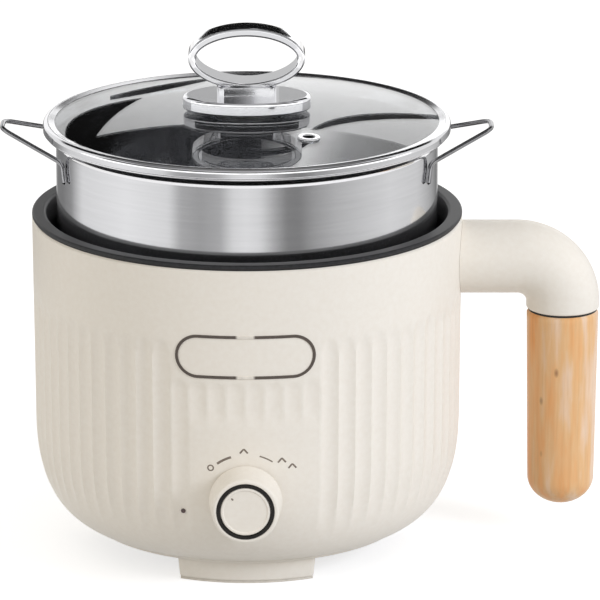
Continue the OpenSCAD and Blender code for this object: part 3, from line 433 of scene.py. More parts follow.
def box_stack(rows):
    """Rounded rectangles, each by its width, height and radius in millimetres and by its level."""
    return stacked([box_outline(w * MM, h * MM, r * MM) for w, h, r, _ in rows], [row[3] for row in rows])


def holed_sector(inner, outer, start, end, columns, rows, hole, faces_z):
    """A piece of a flat ring with one hole, as a closed strip from its edge over the hole and back.

    The edge runs along the inner arc, out, back along the outer arc and in. Each edge point is drawn
    towards the middle until it meets the hole, a squared ellipse given by its radial half, its
    tangential half and its power. The strip has an upper and a lower face.
    """
    t_in, t_out = (np.arange(n) / n for n in columns)
    t_side = np.arange(rows) / rows
    r = np.concatenate([
        inner + 0 * t_in, inner + (outer - inner) * t_side,
        outer + 0 * t_out, outer + (inner - outer) * t_side,
    ])
    a = np.concatenate([
        start + (end - start) * t_in, end + 0 * t_side, end + (start - end) * t_out, start + 0 * t_side,
    ])
    edge = np.stack([r * np.cos(a), r * np.sin(a)], -1)
    out = np.array([math.cos((start + end) / 2), math.sin((start + end) / 2)])
    aside = np.array([-out[1], out[0]])
    middle = (inner + outer) / 2 * out
    way = unit(edge - middle)
    half_out, half_aside, power = hole
    bulge = np.abs(way @ out / half_out) ** power + np.abs(way @ aside / half_aside) ** power
    rim = middle + way * (bulge ** (-1 / power))[:, None]
    upper, lower = faces_z
    flats = [edge, (edge + 2 * rim) / 3, rim, rim, (edge + 2 * rim) / 3, edge]
    return grid(stacked(flats, [upper] * 3 + [lower] * 3))


def plain_sector(inner, outer, start, end, columns, rows, faces_z):
    """The upper and lower faces of a piece of a flat ring."""
    r = np.linspace(inner, outer, rows + 1)[:, None]
    a = np.linspace(start, end, columns + 1)[None]
    return [grid(polar(r, a, z), ring=False) for z in faces_z]


# Pieces and finishes

NODE_SLOTS = {row["node"]: row["material_slot"] for row in frame["record"]["subparts"]}
FINISHES = {}


def new_object(name, part, finish):
    """A new object on the scene, with the mesh of a part and one finish."""
    points, faces = part
    mesh = bpy.data.meshes.new(name)
    mesh.from_pydata(points.tolist(), [], faces.tolist())
    mesh.materials.append(finish)
    made = bpy.data.objects.new(name, mesh)
    bpy.context.scene.collection.objects.link(made)
    return made


def make_piece(name, parts, body, slot, nodes=(), crease=40, finish=None):
    """Joins parts into one mesh, closes its seams, turns its faces outwards and seats it on its body.

    Each part is an array of points and an array of four-sided faces. Edges that bend by more than the
    crease, in degrees, are shaded sharp.
    """
    starts = np.cumsum([0] + [len(points) for points, _ in parts])
    points = np.vstack([points for points, _ in parts])
    faces = np.vstack([faces + start for (_, faces), start in zip(parts, starts)])
    piece = new_object(name, (points, faces), FINISHES[finish or slot])
    work = bmesh.new()
    work.from_mesh(piece.data)
    bmesh.ops.remove_doubles(work, verts=work.verts, dist=SEAM)
    bmesh.ops.recalc_face_normals(work, faces=work.faces)
    work.to_mesh(piece.data)
    work.free()
    piece.data.shade_smooth()
    piece.data.set_sharp_from_angle(angle=math.radians(crease))
    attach(piece, body)
    if nodes:
        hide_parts(*nodes)


def plug(node, **inputs):
    """Sets a node's inputs; each is a plain value or another node's output."""
    for name, value in inputs.items():
        socket = node.inputs[name.replace("_", " ")]
        if isinstance(value, bpy.types.NodeSocket):
            node.id_data.links.new(value, socket)
        else:
            socket.default_value = value
    return node


def join(node, first, second, start=0):
    """Links two outputs to a node's inputs, one after the other from a start."""
    node.id_data.links.new(first, node.inputs[start])
    node.id_data.links.new(second, node.inputs[start + 1])
    return node


def add(tree, kind, **inputs):
    """Adds a node with its inputs."""
    return plug(tree.nodes.new("ShaderNode" + kind), **inputs)


def new_material(name):
    """A new material and its tree of nodes."""
    made = bpy.data.materials.new(name)
    made.use_nodes = True
    return made, made.node_tree


def new_finish(name, **sockets):
    """A new finish with plain values on its shader's own sockets."""
    FINISHES[name], tree = new_material(name)
    return tree, plug(tree.nodes["Principled BSDF"], **sockets)


def ramp_of(tree, factor, stops):
    """A colour ramp over a factor; each stop is a place and a linear colour."""
    made = add(tree, "ValToRGB", Fac=factor)
    elements = made.color_ramp.elements
    elements[0].position, elements[-1].position = stops[0][0], stops[-1][0]
    for place, _ in stops[1:-1]:
        elements.new(place)
    for element, (_, tint) in zip(elements, stops):
        element.color = (*tint, 1)
    return made.outputs["Color"]


def pattern(tree, grain, stretch=(1, 1, 1), detail=4):
    """Noise on the object's own coordinates, stretched along its axes."""
    place = add(tree, "TexCoord").outputs["Object"]
    moved = add(tree, "Mapping", Vector=place, Scale=stretch).outputs["Vector"]
    return add(tree, "TexNoise", Vector=moved, Scale=grain, Detail=detail).outputs["Fac"]


def gradient(tree, shape, **moves):
    """A gradient on the object's own coordinates, moved, turned or scaled."""
    place = add(tree, "TexCoord").outputs["Object"]
    made = add(tree, "TexGradient", Vector=add(tree, "Mapping", Vector=place, **moves).outputs["Vector"])
    made.gradient_type = shape
    return made.outputs["Fac"]


def spread(tree, value, start, end, **more):
    """A value from 0 to 1 spread from a start to an end."""
    return add(tree, "MapRange", Value=value, To_Min=start, To_Max=end, **more).outputs["Result"]


def relief(tree, height, strength):
    """A slight bump that follows a height."""
    return add(tree, "Bump", Height=height, Strength=strength, Distance=0.1 * MM).outputs["Normal"]


def multiplied(tree, first, second, share):
    """A colour multiplied by a second one, by a share."""
    made = tree.nodes.new("ShaderNodeMix")
    made.data_type = "RGBA"
    made.blend_type = "MULTIPLY"
    made.inputs[0].default_value = share
    return join(made, first, second, 6).outputs[2]


def grained(name, dark, light, grain, rough, bump=0.0, stretch=(1, 1, 1), **sockets):
    """A finish whose colour, gloss and relief follow one noise pattern.

    The noise runs a ramp between two colours, a roughness from low to high and a slight bump.
    """
    tree, shader = new_finish(name, **sockets)
    noise = pattern(tree, grain, stretch)
    tint = ramp_of(tree, noise, [(0.3, dark), (0.7, light)])
    plug(shader, Base_Color=tint, Roughness=spread(tree, noise, *rough))
    if bump:
        plug(shader, Normal=relief(tree, noise, bump))


def metal(*values):
    """A grained finish of bare metal."""
    grained(*values, Metallic=1.0)


def wood_finish(colours, handle):
    """Honey wood: long soft patches along the grip, fine fibres over them and three small knots.

    Noise drawn out along the grip gives the patches, and finer noise the fibres; a ball-shaped gradient
    round each knot darkens it. A gradient across the grip adds painted light to the patches: painted shade
    on the side towards the pot and a painted highlight on the side away from it, which faces the key light.
    """
    tree, shader = new_finish("wood_grip", Specular_IOR_Level=0.55)
    fibre = pattern(tree, 900, (1, 1, 0.035), 3)
    patches = pattern(tree, 170, (1, 1, 0.16))
    middle = 0.5 - GRIP_X / (2 * GRIP_R)
    # Painted light: this gradient across the grip darkens the side towards the pot as painted shade and pales
    # the far side as a painted highlight.
    across = gradient(tree, "LINEAR", Location=(middle, 0, 0), Scale=(0.5 / GRIP_R, 0, 0))
    tone = spread(tree, across, patches, spread(tree, patches, 0.3, 1.3))
    bands = ramp_of(tree, tone, [(0.42, colours.wood_dark), (0.68, colours.wood), (0.86, colours.lit_wood)])
    light = ramp_of(tree, fibre, [(0.25, (0.72, 0.66, 0.6)), (0.6, (1, 1, 1))])
    mixed = multiplied(tree, bands, light, 0.3)
    reach = np.array([1.3, 1.3, 2.6]) * MM
    top_knot = handle.knot_high + 14 * MM
    for aside, height in ((-0.2, top_knot), (-0.62, handle.knot_high), (-0.62, handle.knot_low)):
        centre = np.array([GRIP_X + aside * GRIP_R, -math.sqrt(1 - aside**2) * GRIP_R, height])
        ball = gradient(tree, "SPHERICAL", Location=-centre / reach, Scale=1 / reach)
        spot = ramp_of(tree, ball, [(0.0, (1, 1, 1)), (0.9, colours.knot)])
        mixed = multiplied(tree, mixed, spot, 0.8)
    plug(shader, Base_Color=mixed, Roughness=spread(tree, fibre, 0.36, 0.52))
    plug(shader, Normal=relief(tree, fibre, 0.25))


def badge_finish(colours):
    """A brown line that turns pale at the middle of the frame's long sides, as a painted highlight.

    A gradient falls from the middle to either side along x and runs a ramp from the pale painted highlight to
    brown.
    """
    tree, shader = new_finish("badge_line", Roughness=0.4)
    # Painted highlight: near the middle along x the brown line turns to pale cream.
    near = gradient(tree, "SPHERICAL", Scale=(1 / (4.6 * MM), 0, 0))
    line = ramp_of(tree, near, [(0.05, colours.frame), (0.3, colours.cream_low)])
    grain = ramp_of(tree, pattern(tree, 420), [(0.3, (0.82, 0.82, 0.82)), (0.7, (1, 1, 1))])
    plug(shader, Base_Color=multiplied(tree, line, grain, 1.0))


def glass_finish():
    """Clear glass with faint smears that roughen it a little."""
    tree, shader = new_finish("lid_glass", IOR=1.48, Transmission_Weight=1.0)
    smear = pattern(tree, 22, detail=3)
    tint = ramp_of(tree, smear, [(0.3, (0.5, 0.51, 0.52)), (0.7, (0.55, 0.56, 0.57))])
    plug(shader, Base_Color=tint, Roughness=spread(tree, smear, 0.0, 0.04, From_Min=0.45))


def make_finishes(colours, handle):
    """One finish for each slot of the record, and those of the print and the wire handles."""
    grained(
        "cream_plastic", colours.cream_low, colours.cream, 420, (0.4, 0.46), 0.03, Specular_IOR_Level=0.42,
    )
    grained("pad_rubber", shade(214, 207, 195), shade(228, 221, 209), 400, (0.7, 0.85), 0.3)
    grained("pot_coating", shade(27, 27, 28), colours.coating, 700, (0.4, 0.48), 0.05, Specular_IOR_Level=0.3)
    grained("seal_rubber", shade(14, 14, 14), shade(30, 30, 30), 500, (0.55, 0.7), 0.2)
    metal("aluminium", shade(172, 174, 176), shade(198, 200, 202), 240, (0.36, 0.5), 0.2)
    metal("steel_parts", shade(166, 167, 169), shade(204, 205, 207), 300, (0.24, 0.38), 0.05, (1, 1, 6))
    metal("brass_parts", shade(176, 142, 72), shade(214, 180, 104), 260, (0.22, 0.36), 0.05)
    grained("white_plastic", shade(222, 221, 216), shade(236, 235, 230), 90, (0.42, 0.5), 0.04)
    grained("lamp_plastic", shade(40, 17, 12), shade(70, 30, 20), 200, (0.14, 0.22), Coat_Weight=0.4)
    grained("black_plastic", shade(24, 24, 25), shade(38, 38, 39), 500, (0.42, 0.52), 0.12)
    grained("wire_insulation", shade(96, 56, 34), shade(128, 78, 50), 150, (0.4, 0.5), 0.05)
    grained("ink", colours.ink, shade(132, 120, 108), 600, (0.5, 0.6))
    grained("dark_ring", shade(20, 18, 16), colours.ring, 300, (0.28, 0.38), 0.03, Specular_IOR_Level=0.2)
    metal("basket_steel", shade(221, 221, 223), colours.steel, 30, (0.1, 0.112), 0.0, (1, 1, 22))
    metal("handle_wire", shade(128, 128, 130), shade(150, 150, 152), 200, (0.12, 0.2))
    metal("lid_steel", shade(216, 216, 218), colours.steel, 30, (0.1, 0.16), 0.01, (1, 1, 22))
    grained("soft_washer", shade(206, 206, 202), shade(226, 226, 221), 120, (0.45, 0.6), 0.05)
    metal("knob_chrome", shade(224, 225, 228), colours.chrome, 16, (0.03, 0.07))
    wood_finish(colours, handle)
    badge_finish(colours)
    glass_finish()


# Shapes of the body

# Shares of a flute's round end and of its depth under the badge frame
FRONT_END = 0.5
FRONT_DEPTH = 0.7


def wall_radius(body, z):
    """Radius of the outer wall: a straight draft above the shoulder, a squared ellipse below it."""
    t = np.clip((body.shoulder_z - z) / body.corner_h, 0, 1)
    corner = BODY_R - body.draft - body.corner_w * (1 - (1 - t**body.corner_n) ** (1 / body.corner_n))
    straight = BODY_R - body.draft * (RIM_Z - z) / (RIM_Z - body.shoulder_z)
    return np.where(z > body.shoulder_z, straight, corner)


def corner_line(body, inset):
    """The wall's corner from shoulder to base, moved inwards: cos and sin raised to two over the power."""
    a = np.linspace(0, math.pi / 2, 400)
    power = 2 / body.corner_n
    r = BODY_R - body.draft - body.corner_w + (body.corner_w - inset) * np.cos(a) ** power
    z = body.shoulder_z - (body.corner_h - inset) * np.sin(a) ** power
    return np.stack([r, z], -1)


def flute_cut(body, a, z):
    """Depth of the flutes at a turn and a height.

    Across a flute the depth is one less the square of the way from its middle to its ridge. The upper
    end takes off the square of the way into it, which rounds it, and the foot eases out. At the front
    the flutes start below the badge frame and ease out above the plain panel round the dial.
    """
    pitch = math.tau / body.flutes
    index = np.floor(a / pitch + 1e-6)
    across = 2 * (a / pitch - index) - 1
    from_front = np.mod((index + 0.5) * pitch + math.tau / 4 + math.pi, math.tau) - math.pi
    badge = np.abs(from_front) < body.badge_angle
    panel = np.abs(from_front - body.panel_turn) < body.panel_angle
    end = np.where(badge, FRONT_END, 1) * body.flute_end
    above = np.clip((z - np.where(badge, body.badge_low, body.flute_top)) / end + 1, 0, 1)
    hollow = np.maximum(0, 1 - across**2 - above**2)
    over_panel = ease(body.panel_z, body.panel_z + body.flute_end, z)
    foot = np.where(panel, over_panel, ease(body.fade_low, body.fade_high, z))
    return body.flute_depth * np.where(badge, FRONT_DEPTH, 1) * hollow * foot


def shell_parts(body):
    """The fluted shell: its wall outside, the seat of the base cover and its wall inside, turned as one.

    The flutes are taken off the radius of the outer wall's points.
    """
    seat = body.cover_r + 0.3 * MM
    ledge = body.screw_circle + 5.3 * MM
    inside = COVER_TOP + 4 * MM
    fine, coarse = 1.3 * MM, 8 * MM
    arc = np.linspace(math.pi / 2, 0, 7)
    centre = [BODY_R - body.rim_round, RIM_Z - body.rim_round]
    rim = np.stack([np.cos(arc), np.sin(arc)], -1) * body.rim_round + centre
    corner = corner_line(body, 0)
    outer = evenly(np.vstack([rim, corner[corner[:, 0] > seat]]), fine)
    base = [(seat, outer[-1, 1]), (seat, COVER_TOP), (ledge, COVER_TOP), (ledge, COVER_TOP + body.wall)]
    corner = corner_line(body, body.wall)
    inner = evenly(np.vstack([[BODY_R - body.wall, RIM_Z], corner[corner[:, 1] > inside]]), coarse)
    profile = np.vstack([outer, base, inner[::-1]])
    columns = 8 * body.flutes
    a = np.arange(columns) * math.tau / columns
    cut = flute_cut(body, a[None], profile[:, 1:])
    cut[len(outer):] = 0
    points = polar(profile[:, :1] - cut, a, profile[:, 1:])
    return [grid(points, loop=True), dial_boss(), inlet_boss()]


def at_dial(part):
    """A part seated on the dial's axis, which leaves the front."""
    return seated(part, (0, 0, DIAL_Z), (1, 0, 0), (0, 0, 1), (0, -1, 0))


def at_inlet(part):
    """A part seated on the inlet's axis, which leaves the back."""
    return seated(part, (0, 0, INLET_Z), (-1, 0, 0), (0, 0, 1), (0, 1, 0))


def dial_boss():
    """The round seat behind the dial: a ring with a rounded front edge."""
    face = KNOB_BACK - 0.5 * MM
    back = face - 6 * MM
    radius, hole, edge = KNOB_R - 1 * MM, 4.5 * MM, 0.1 * MM
    ring = [(hole, back, edge), (radius, back, edge), (radius, face, 0.4 * MM), (hole, face, edge)]
    return at_dial(turned(ring, 4, 96, True))


def inlet_boss():
    """The raised seat of the inlet: a frame of rounded outlines that closes on itself."""
    back = INLET_SEAT - 9 * MM
    rows = [
        (30.2, 22.2, 2.5, back), (30.2, 22.2, 2.5, INLET_SEAT), (49.8, 29.8, 3.4, INLET_SEAT),
        (50.7, 30.7, 3.9, INLET_SEAT - 0.2 * MM), (51, 31, 4, INLET_SEAT - 0.7 * MM), (51, 31, 4, back),
    ]
    return at_inlet(grid(box_stack(rows), loop=True))


def foot_part(body, middle):
    """A foot: a rounded outline bent round the axis, stacked downwards, tapered and rounded at its foot."""
    q = np.linspace(0, math.pi / 2, 7)
    taper, corner, step = 0.6 * MM, 1.5 * MM, 0.8 * MM
    inset = np.concatenate([[0, 0], taper + body.foot_round * (1 - np.cos(q))])
    z = np.concatenate([
        [COVER_TOP - body.cover_t / 2, COVER_TOP - body.cover_t], PAD_TOP + body.foot_round * (1 - np.sin(q)),
    ])
    long, wide = body.foot_mid * body.foot_angle / 2, body.foot_w / 2
    flat = box_outline(2 * long, 2 * wide, corner)
    flat = evenly(np.vstack([flat, flat[:1]]), step)[:-1] / (long, wide)
    a = middle + (long - inset)[:, None] * flat[:, 0] / body.foot_mid
    r = body.foot_mid + (wide - inset)[:, None] * flat[:, 1]
    return grid(capped(polar(r, a, z[:, None])))


def base_parts(body):
    """The base cover: a plate with radial vent slots and screw holes, bosses above and feet below."""
    upper, lower = COVER_TOP, COVER_TOP - body.cover_t
    flats = (upper, lower)
    vent_in, vent_out, screw_in, screw_out = np.array([23, 41, 59, 69]) * MM
    edge = body.cover_r
    slot = (7 * MM, 1.5 * MM, 8)
    hole, boss, core = 3.6, 5, 2.1
    screw = (hole * MM, hole * MM, 2)
    foot, inside, top = upper / MM - 0.6, 28, 38
    tube = [(hole, foot), (boss, foot), (boss, top), (core, top), (core, inside), (hole, inside)]
    vents, step = 12, math.radians(30)
    parts = [
        holed_sector(vent_in, vent_out, (i - 0.5) * step, (i + 0.5) * step, (30, 30), 12, slot, flats)
        for i in range(vents)
    ]
    parts += plain_sector(0, vent_in, 0, math.tau, 360, 2, flats)
    parts += plain_sector(vent_out, screw_in, 0, math.tau, 360, 2, flats)
    half = math.radians(8)
    for middle in np.radians([90, 210, 330]):
        start, end, after = middle - half, middle + half, middle + math.radians(120) - half
        parts.append(holed_sector(screw_in, screw_out, start, end, (16, 16), 8, screw, flats))
        parts += plain_sector(screw_in, screw_out, end, after, 104, 8, flats)
        at = body.screw_circle * np.array([math.cos(middle), math.sin(middle)])
        parts.append(lathe(np.array(tube) * MM, 48, at))
    rim = [(screw_out, upper, 0), (edge, upper, 0.4 * MM), (edge, lower, 1 * MM), (screw_out, lower, 0)]
    parts.append(turned(rim, 5, 360))
    return parts + [foot_part(body, a) for a in np.radians([-90, 30, 150])]


def pot_parts(body):
    """The pot: floor, ledge, flared mouth and flange, all edges rounded, turned as one sheet."""
    wall, floor = body.pot_wall, POT_BASE + 2 * MM
    low_r, high_r, ledge = body.pot_r, body.pot_top_r, body.ledge_z
    lip = BODY_R - 6 * MM
    mouth = RIM_Z - 5 * MM
    flange = POT_TOP - 1.6 * MM
    corners = [
        (0, floor, 0), (low_r, floor, 12 * MM), (low_r, ledge, 1.4 * MM), (high_r, ledge, 0.8 * MM),
        (high_r, mouth, 4 * MM), (lip, POT_TOP, 1.5 * MM), (BODY_R, POT_TOP, 0.8 * MM),
        (BODY_R, flange, 0.3 * MM), (lip + 0.4 * MM, flange, 1 * MM), (high_r + wall, mouth, 3 * MM),
        (high_r + wall, ledge - wall, 0.6 * MM), (low_r + wall, ledge - wall, 0.6 * MM),
        (low_r + wall, POT_BASE, 13 * MM), (0, POT_BASE, 0),
    ]
    return [turned(corners, 9, 256)]


def on_wall(body, x, z, proud):
    """Points proud of the front wall: y is less than minus the root of its radius squared less x squared."""
    return np.stack([x, -np.sqrt(wall_radius(body, z) ** 2 - x**2) - proud, z], -1)


def wall_strip(body, line, width, proud, sunk, closed):
    """A raised line on the front wall: a low rounded section carried along a flat line of x and z."""
    run = runs(line, closed)
    half = width / 2
    soft = min(half, proud) * 0.6
    corners = [(-half, -sunk), (-half, proud), (half, proud), (half, -sunk)]
    section = rounded(corners, [0, soft, soft, 0], 4, False)
    x = line[:, :1] - run[:, 1:] * section[:, 0]
    z = line[:, 1:] + run[:, :1] * section[:, 0]
    points = on_wall(body, x, z, section[:, 1] + 0 * x)
    return grid(points, loop=True) if closed else grid(capped(points))


def badge_parts(body, dial):
    """The badge frame: a pill-shaped line round a bare place."""
    wide, tall = dial.frame_w - dial.frame_line, dial.frame_h - dial.frame_line
    pill = box_outline(wide, tall, tall / 2 - EASING, 20)
    step, proud, sunk = 0.8 * MM, 0.45 * MM, 0.8 * MM
    line = evenly(np.vstack([pill, pill[:1]]), step)[:-1] + [0, dial.frame_z]
    return [wall_strip(body, line, dial.frame_line, proud, sunk, True)]


def about_dial(radius, degrees):
    """Flat points about the dial's axis, by radius and by degrees to the right of straight up."""
    a = np.radians(degrees)
    return np.stack([radius * np.sin(a), DIAL_Z + radius * np.cos(a)], -1)


def mark_parts(body, dial):
    """Print round the dial: an off ring, two dashes, one chevron for low heat and two for high."""
    r = dial.mark_r
    thin, thick = dial.print_w, 1.4 * dial.print_w
    proud, sunk = 0.05 * MM, 0.2 * MM
    lines = [
        (about_dial(r, np.linspace(-37, -18, 16)), thick),
        (about_dial(r + 0.3 * MM, np.linspace(17, 34, 16)), 0.8 * thin),
    ]
    peak = np.array([(-1.7, -1.2), (0, 0.8), (1.7, -1.2)]) * MM
    chevron = evenly(rounded(peak, 0.3 * MM, 4, False), 0.4 * MM)
    for radius, degrees in [(22.6, -2), (24.0, 41), (25.4, 53)]:
        lines.append((about_dial(radius * MM, degrees) + chevron, thin))
    parts = [wall_strip(body, line, width, proud, sunk, False) for line, width in lines]
    ring = about_dial(r + 0.4 * MM, -46.6) + circle(1.2 * MM, 32)
    return parts + [wall_strip(body, ring, 0.8 * thin, proud, sunk, True)]


def knob_parts(dial):
    """The dial's body: bored at its back, slightly conical, with a rounded lip and a recessed face."""
    floor = KNOB_FRONT - dial.recess
    lip = dial.ring_r + 0.1 * MM
    shaft, bore, depth = 3.1 * MM, 9.5 * MM, KNOB_BACK + 6.7 * MM
    corners = [
        (0, SHAFT_END, 0), (shaft, SHAFT_END, 0), (shaft, depth, 0), (bore, depth, 0), (bore, KNOB_BACK, 0),
        (KNOB_R, KNOB_BACK, 0.7 * MM), (dial.face_r, KNOB_FRONT, 1.3 * MM), (lip, KNOB_FRONT, 0.3 * MM),
        (lip, floor, 0), (0, floor, 0),
    ]
    return [at_dial(turned(corners, 7, 144))]


def knob_ring_parts(dial):
    """The dark ring in the dial's face, its edges rounded."""
    inner, outer = dial.ring_r - dial.ring_w, dial.ring_r
    floor, top = KNOB_FRONT - dial.recess, KNOB_FRONT + 0.15 * MM
    small, large = 0.05 * MM, 0.3 * MM
    ring = [(inner, floor, small), (outer, floor, small), (outer, top, large), (inner, top, large)]
    return [at_dial(turned(ring, 5, 144, True))]


def knob_cap_parts(dial):
    """The dial's cap: a flat face inside a raised rounded lip."""
    edge = dial.ring_r - dial.ring_w - 0.25 * MM
    floor = KNOB_FRONT - dial.recess
    corners = [
        (0, floor, 0), (edge, floor, 0), (edge, KNOB_FRONT, 0.5 * MM),
        (edge - 1.1 * MM, KNOB_FRONT, 0.45 * MM), (edge - 1.4 * MM, CAP_FACE, 0.3 * MM), (0, CAP_FACE, 0),
    ]
    return [at_dial(turned(corners, 6, 144))]


def pointer_parts(dial):
    """The pointer on the cap: a short low bar with round ends."""
    start, end, width, corner = 7.4 * MM, 8.6 * MM, 0.7 * MM, 0.34 * MM
    sunk, proud = 0.1 * MM, 0.08 * MM
    flat = box_outline(end - start, width, corner) + [(start + end) / 2, 0]
    a = math.pi / 2 + dial.off_angle
    flat = flat @ np.array([(math.cos(a), math.sin(a)), (-math.sin(a), math.cos(a))])
    return [at_dial(grid(capped(stacked([flat, flat], [CAP_FACE - sunk, CAP_FACE + proud]))))]


def inlet_parts():
    """The inlet: a tub, a bezel with a rounded edge and a recess, as one stack of rounded outlines."""
    rows = [
        (30, 22, 2.5, INLET_IN), (30, 22, 2.5, INLET_SEAT), (46, 26, 4, INLET_SEAT),
        (46, 26, 4, INLET_FACE - 0.6 * MM), (45.6, 25.6, 3.8, INLET_FACE - 0.15 * MM),
        (44.8, 24.8, 3.4, INLET_FACE), (26.4, 18.4, 2.2, INLET_FACE),
        (25.4, 17.4, 1.7, INLET_FACE - 0.2 * MM), (25, 17, 1.5, INLET_FACE - 0.8 * MM),
        (25, 17, 1.5, INLET_IN + 5 * MM),
    ]
    return [at_inlet(grid(capped(box_stack(rows))))]


# Shapes of the handle


def arm_parts(body, handle):
    """The arm: a round section carried straight out of the wall, round a quarter bend and down.

    Its first ring lies just off the wall, where x is the root of the radius squared less y squared.
    """
    t = np.arange(96) * math.tau / 96
    y, rise = ARM_R * np.cos(t), ARM_R * np.sin(t)
    gap = 0.1 * MM
    start_x = np.sqrt(wall_radius(body, ARM_Z + rise) ** 2 - y**2) + gap
    bend_x, bend_z = GRIP_X - handle.bend, ARM_Z - handle.bend
    s = np.linspace(0, 1, 8)[:, None]
    straight = np.stack([start_x + (bend_x - start_x) * s, y + 0 * s, ARM_Z + rise + 0 * s], -1)
    q = np.linspace(0, math.pi / 2, 28)[1:, None]
    far = handle.bend + rise
    curved = np.stack([bend_x + far * np.sin(q), y + 0 * q, bend_z + far * np.cos(q)], -1)
    k = np.linspace(0, math.pi / 2, 6)[:, None]
    share = 1 - handle.edge / ARM_R * (1 - np.cos(k))
    drop = ARM_LOW + handle.edge * (1 - np.sin(k))
    end = np.stack([GRIP_X + rise * share, y * share, drop + 0 * rise], -1)
    return [grid(capped(np.concatenate([straight, curved, end])))]


def grip_parts(handle):
    """The wooden grip: a slightly tapered turning with a rounded top edge and an elliptic end."""
    q = np.linspace(0, math.pi / 2, 16)
    edge = GRIP_LOW + handle.grip_tip
    sides = [(0, GRIP_TOP), (GRIP_R, GRIP_TOP), (handle.grip_low_r, edge)]
    top = rounded(sides, [0, 0.9 * MM, 0], 7, False)
    end = np.stack([handle.grip_low_r * np.cos(q), GRIP_LOW + handle.grip_tip * (1 - np.sin(q))], -1)
    profile = np.vstack([top[:1], evenly(top[1:], 2 * MM), end[1:]])
    return [lathe(profile, 96, (GRIP_X, 0), loop=False)]


# Shapes of the basket


def basket_parts(basket):
    """The basket's wall with its flared, rolled rim, and its floor with rings of steam holes.

    Ring i of the floor has six times i holes, each in a piece of a flat ring whose arcs are split so
    that neighbours share their points.
    """
    sheet, radius, pitch = basket.sheet, basket.wall_r, basket.pitch
    upper, lower = BASKET_Z + sheet, BASKET_Z
    edge = (basket.rings + 0.5) * pitch
    flare = BASKET_TOP - basket.flare
    corners = [
        (edge, lower, 0), (radius, lower, basket.corner), (radius, flare, 3.5 * MM),
        (radius + 2.5 * MM, BASKET_TOP - 0.9 * MM, 0.4 * MM), (BASKET_RIM, BASKET_TOP - 0.6 * MM, 0.15 * MM),
        (BASKET_RIM, BASKET_TOP, 0.22 * MM), (radius + 2.2 * MM, BASKET_TOP, 0.5 * MM),
        (radius - sheet, flare + 0.5 * sheet, 2.7 * MM),
        (radius - sheet, upper, basket.corner - sheet), (edge, upper, 0),
    ]
    parts = [turned(corners, 9, 360)]
    hole = basket.hole / 2
    middle = [(pitch / 2, upper), (hole, upper), (hole, lower), (pitch / 2, lower)]
    parts.append(lathe(middle, 24, loop=False))
    round_hole, flats = (hole, hole, 2), (upper, lower)
    for i in range(1, basket.rings + 1):
        inner, outer = (i - 0.5) * pitch, (i + 0.5) * pitch
        step = math.radians(60) / i
        columns = (4 if i == 1 else 3 * (i - 1), 3 * (i + 1))
        for k in range(6 * i):
            start = (k - 0.5) * step
            parts.append(holed_sector(inner, outer, start, start + step, columns, 4, round_hole, flats))
    return parts


def wire_parts(basket, way):
    """A wire handle: two legs on the wall, bent outwards and up to a narrow round tip, with round ends.

    The way is 1 for the right handle and -1 for the left one, which is turned half round.
    """
    leg_r = basket.wall_r + basket.wire_r + basket.weld_gap
    tip_x = basket.wall_r + basket.reach
    weld = BASKET_TOP - basket.weld_drop
    low_turn = basket.spread + basket.lean
    half = np.array([
        (leg_r * math.cos(low_turn), leg_r * math.sin(low_turn), weld - basket.leg),
        (leg_r * math.cos(basket.spread), leg_r * math.sin(basket.spread), weld),
        (tip_x, basket.tip, weld + basket.rise),
    ])
    corners = np.vstack([half, half[::-1] * (1, -1, 1)])
    bends = np.array([0, 4, 9, 9, 4, 0]) * MM
    path = evenly(rounded(corners, bends, 10, False), 0.9 * MM)
    run = lengths(path)
    near = np.clip(np.minimum(run, run[-1] - run) / basket.wire_r, 0, 1)
    share = np.sqrt(1 - (1 - near) ** 2)
    section = circle(basket.wire_r, 14) * share[:, None, None]
    up = (-0.37, 0, 0.93)
    return [grid(swept(path, section, up) * (way, way, 1))]


# Shapes of the lid


def dome_radius(lid):
    """Radius of the ball whose cap the glass is: edge squared plus rise squared, over twice the rise."""
    return (GLASS_R**2 + lid.rise**2) / (2 * lid.rise)


def dome_z(lid, r):
    """Height of the glass at a distance from the axis: a ball's cap."""
    dome = dome_radius(lid)
    return GLASS_TOP - dome + np.sqrt(dome**2 - r**2)


def band_parts(lid):
    """The lid's steel band: a rolled bead over the glass edge, an outer wall and a lip below."""
    inner, low_in = BAND_R - lid.band_wall, BAND_R - lid.band_w
    lip = BAND_Z + 0.45 * MM
    bead_in = BAND_R - lid.bead_w
    gap = 0.05 * MM
    over, cover = dome_z(lid, bead_in) + gap, dome_z(lid, inner) + gap
    corners = np.array([
        (low_in, BAND_Z, 0.15), (BAND_R, BAND_Z, 0.35), (BAND_R, over + 1.3 * MM, 2.2),
        (bead_in, over + 0.1 * MM, 0.03), (bead_in, over, 0.03), (inner, cover, 0.05), (inner, lip, 0.1),
        (low_in, lip, 0.15),
    ])
    return [turned(corners * (1, 1, MM), 6, 288, True)]


def vent_parts(lid):
    """The steam vent: an eyelet with a flange on each side of the glass, turned about its own axis.

    Its axis leaves the dome at right angles, so it leans by the angle whose sine is its distance over
    the dome's radius.
    """
    dome = dome_radius(lid)
    lean = math.asin(lid.vent_r / dome)
    bore, neck, flange = 2.6, 3.4, 5
    under, over, top = -lid.glass / MM - 0.9, 0.1, 0.95
    corners = np.array([
        (bore, under, 0.2), (flange, under, 0.3), (flange, under + 0.8, 0.2), (neck, under + 0.8, 0.1),
        (neck, over, 0.1), (flange, over, 0.2), (flange, top, 0.4), (bore, top, 0.4),
    ]) * MM
    part = turned(corners, 5, 64, True)
    away = np.array([math.cos(lid.vent_turn), math.sin(lid.vent_turn), 0])
    up = np.array([0, 0, 1])
    out = math.sin(lean) * away + math.cos(lean) * up
    across = math.cos(lean) * away - math.sin(lean) * up
    origin = np.array([0, 0, GLASS_TOP - dome]) + dome * out
    return [seated(part, origin, across, np.cross(out, across), out)]


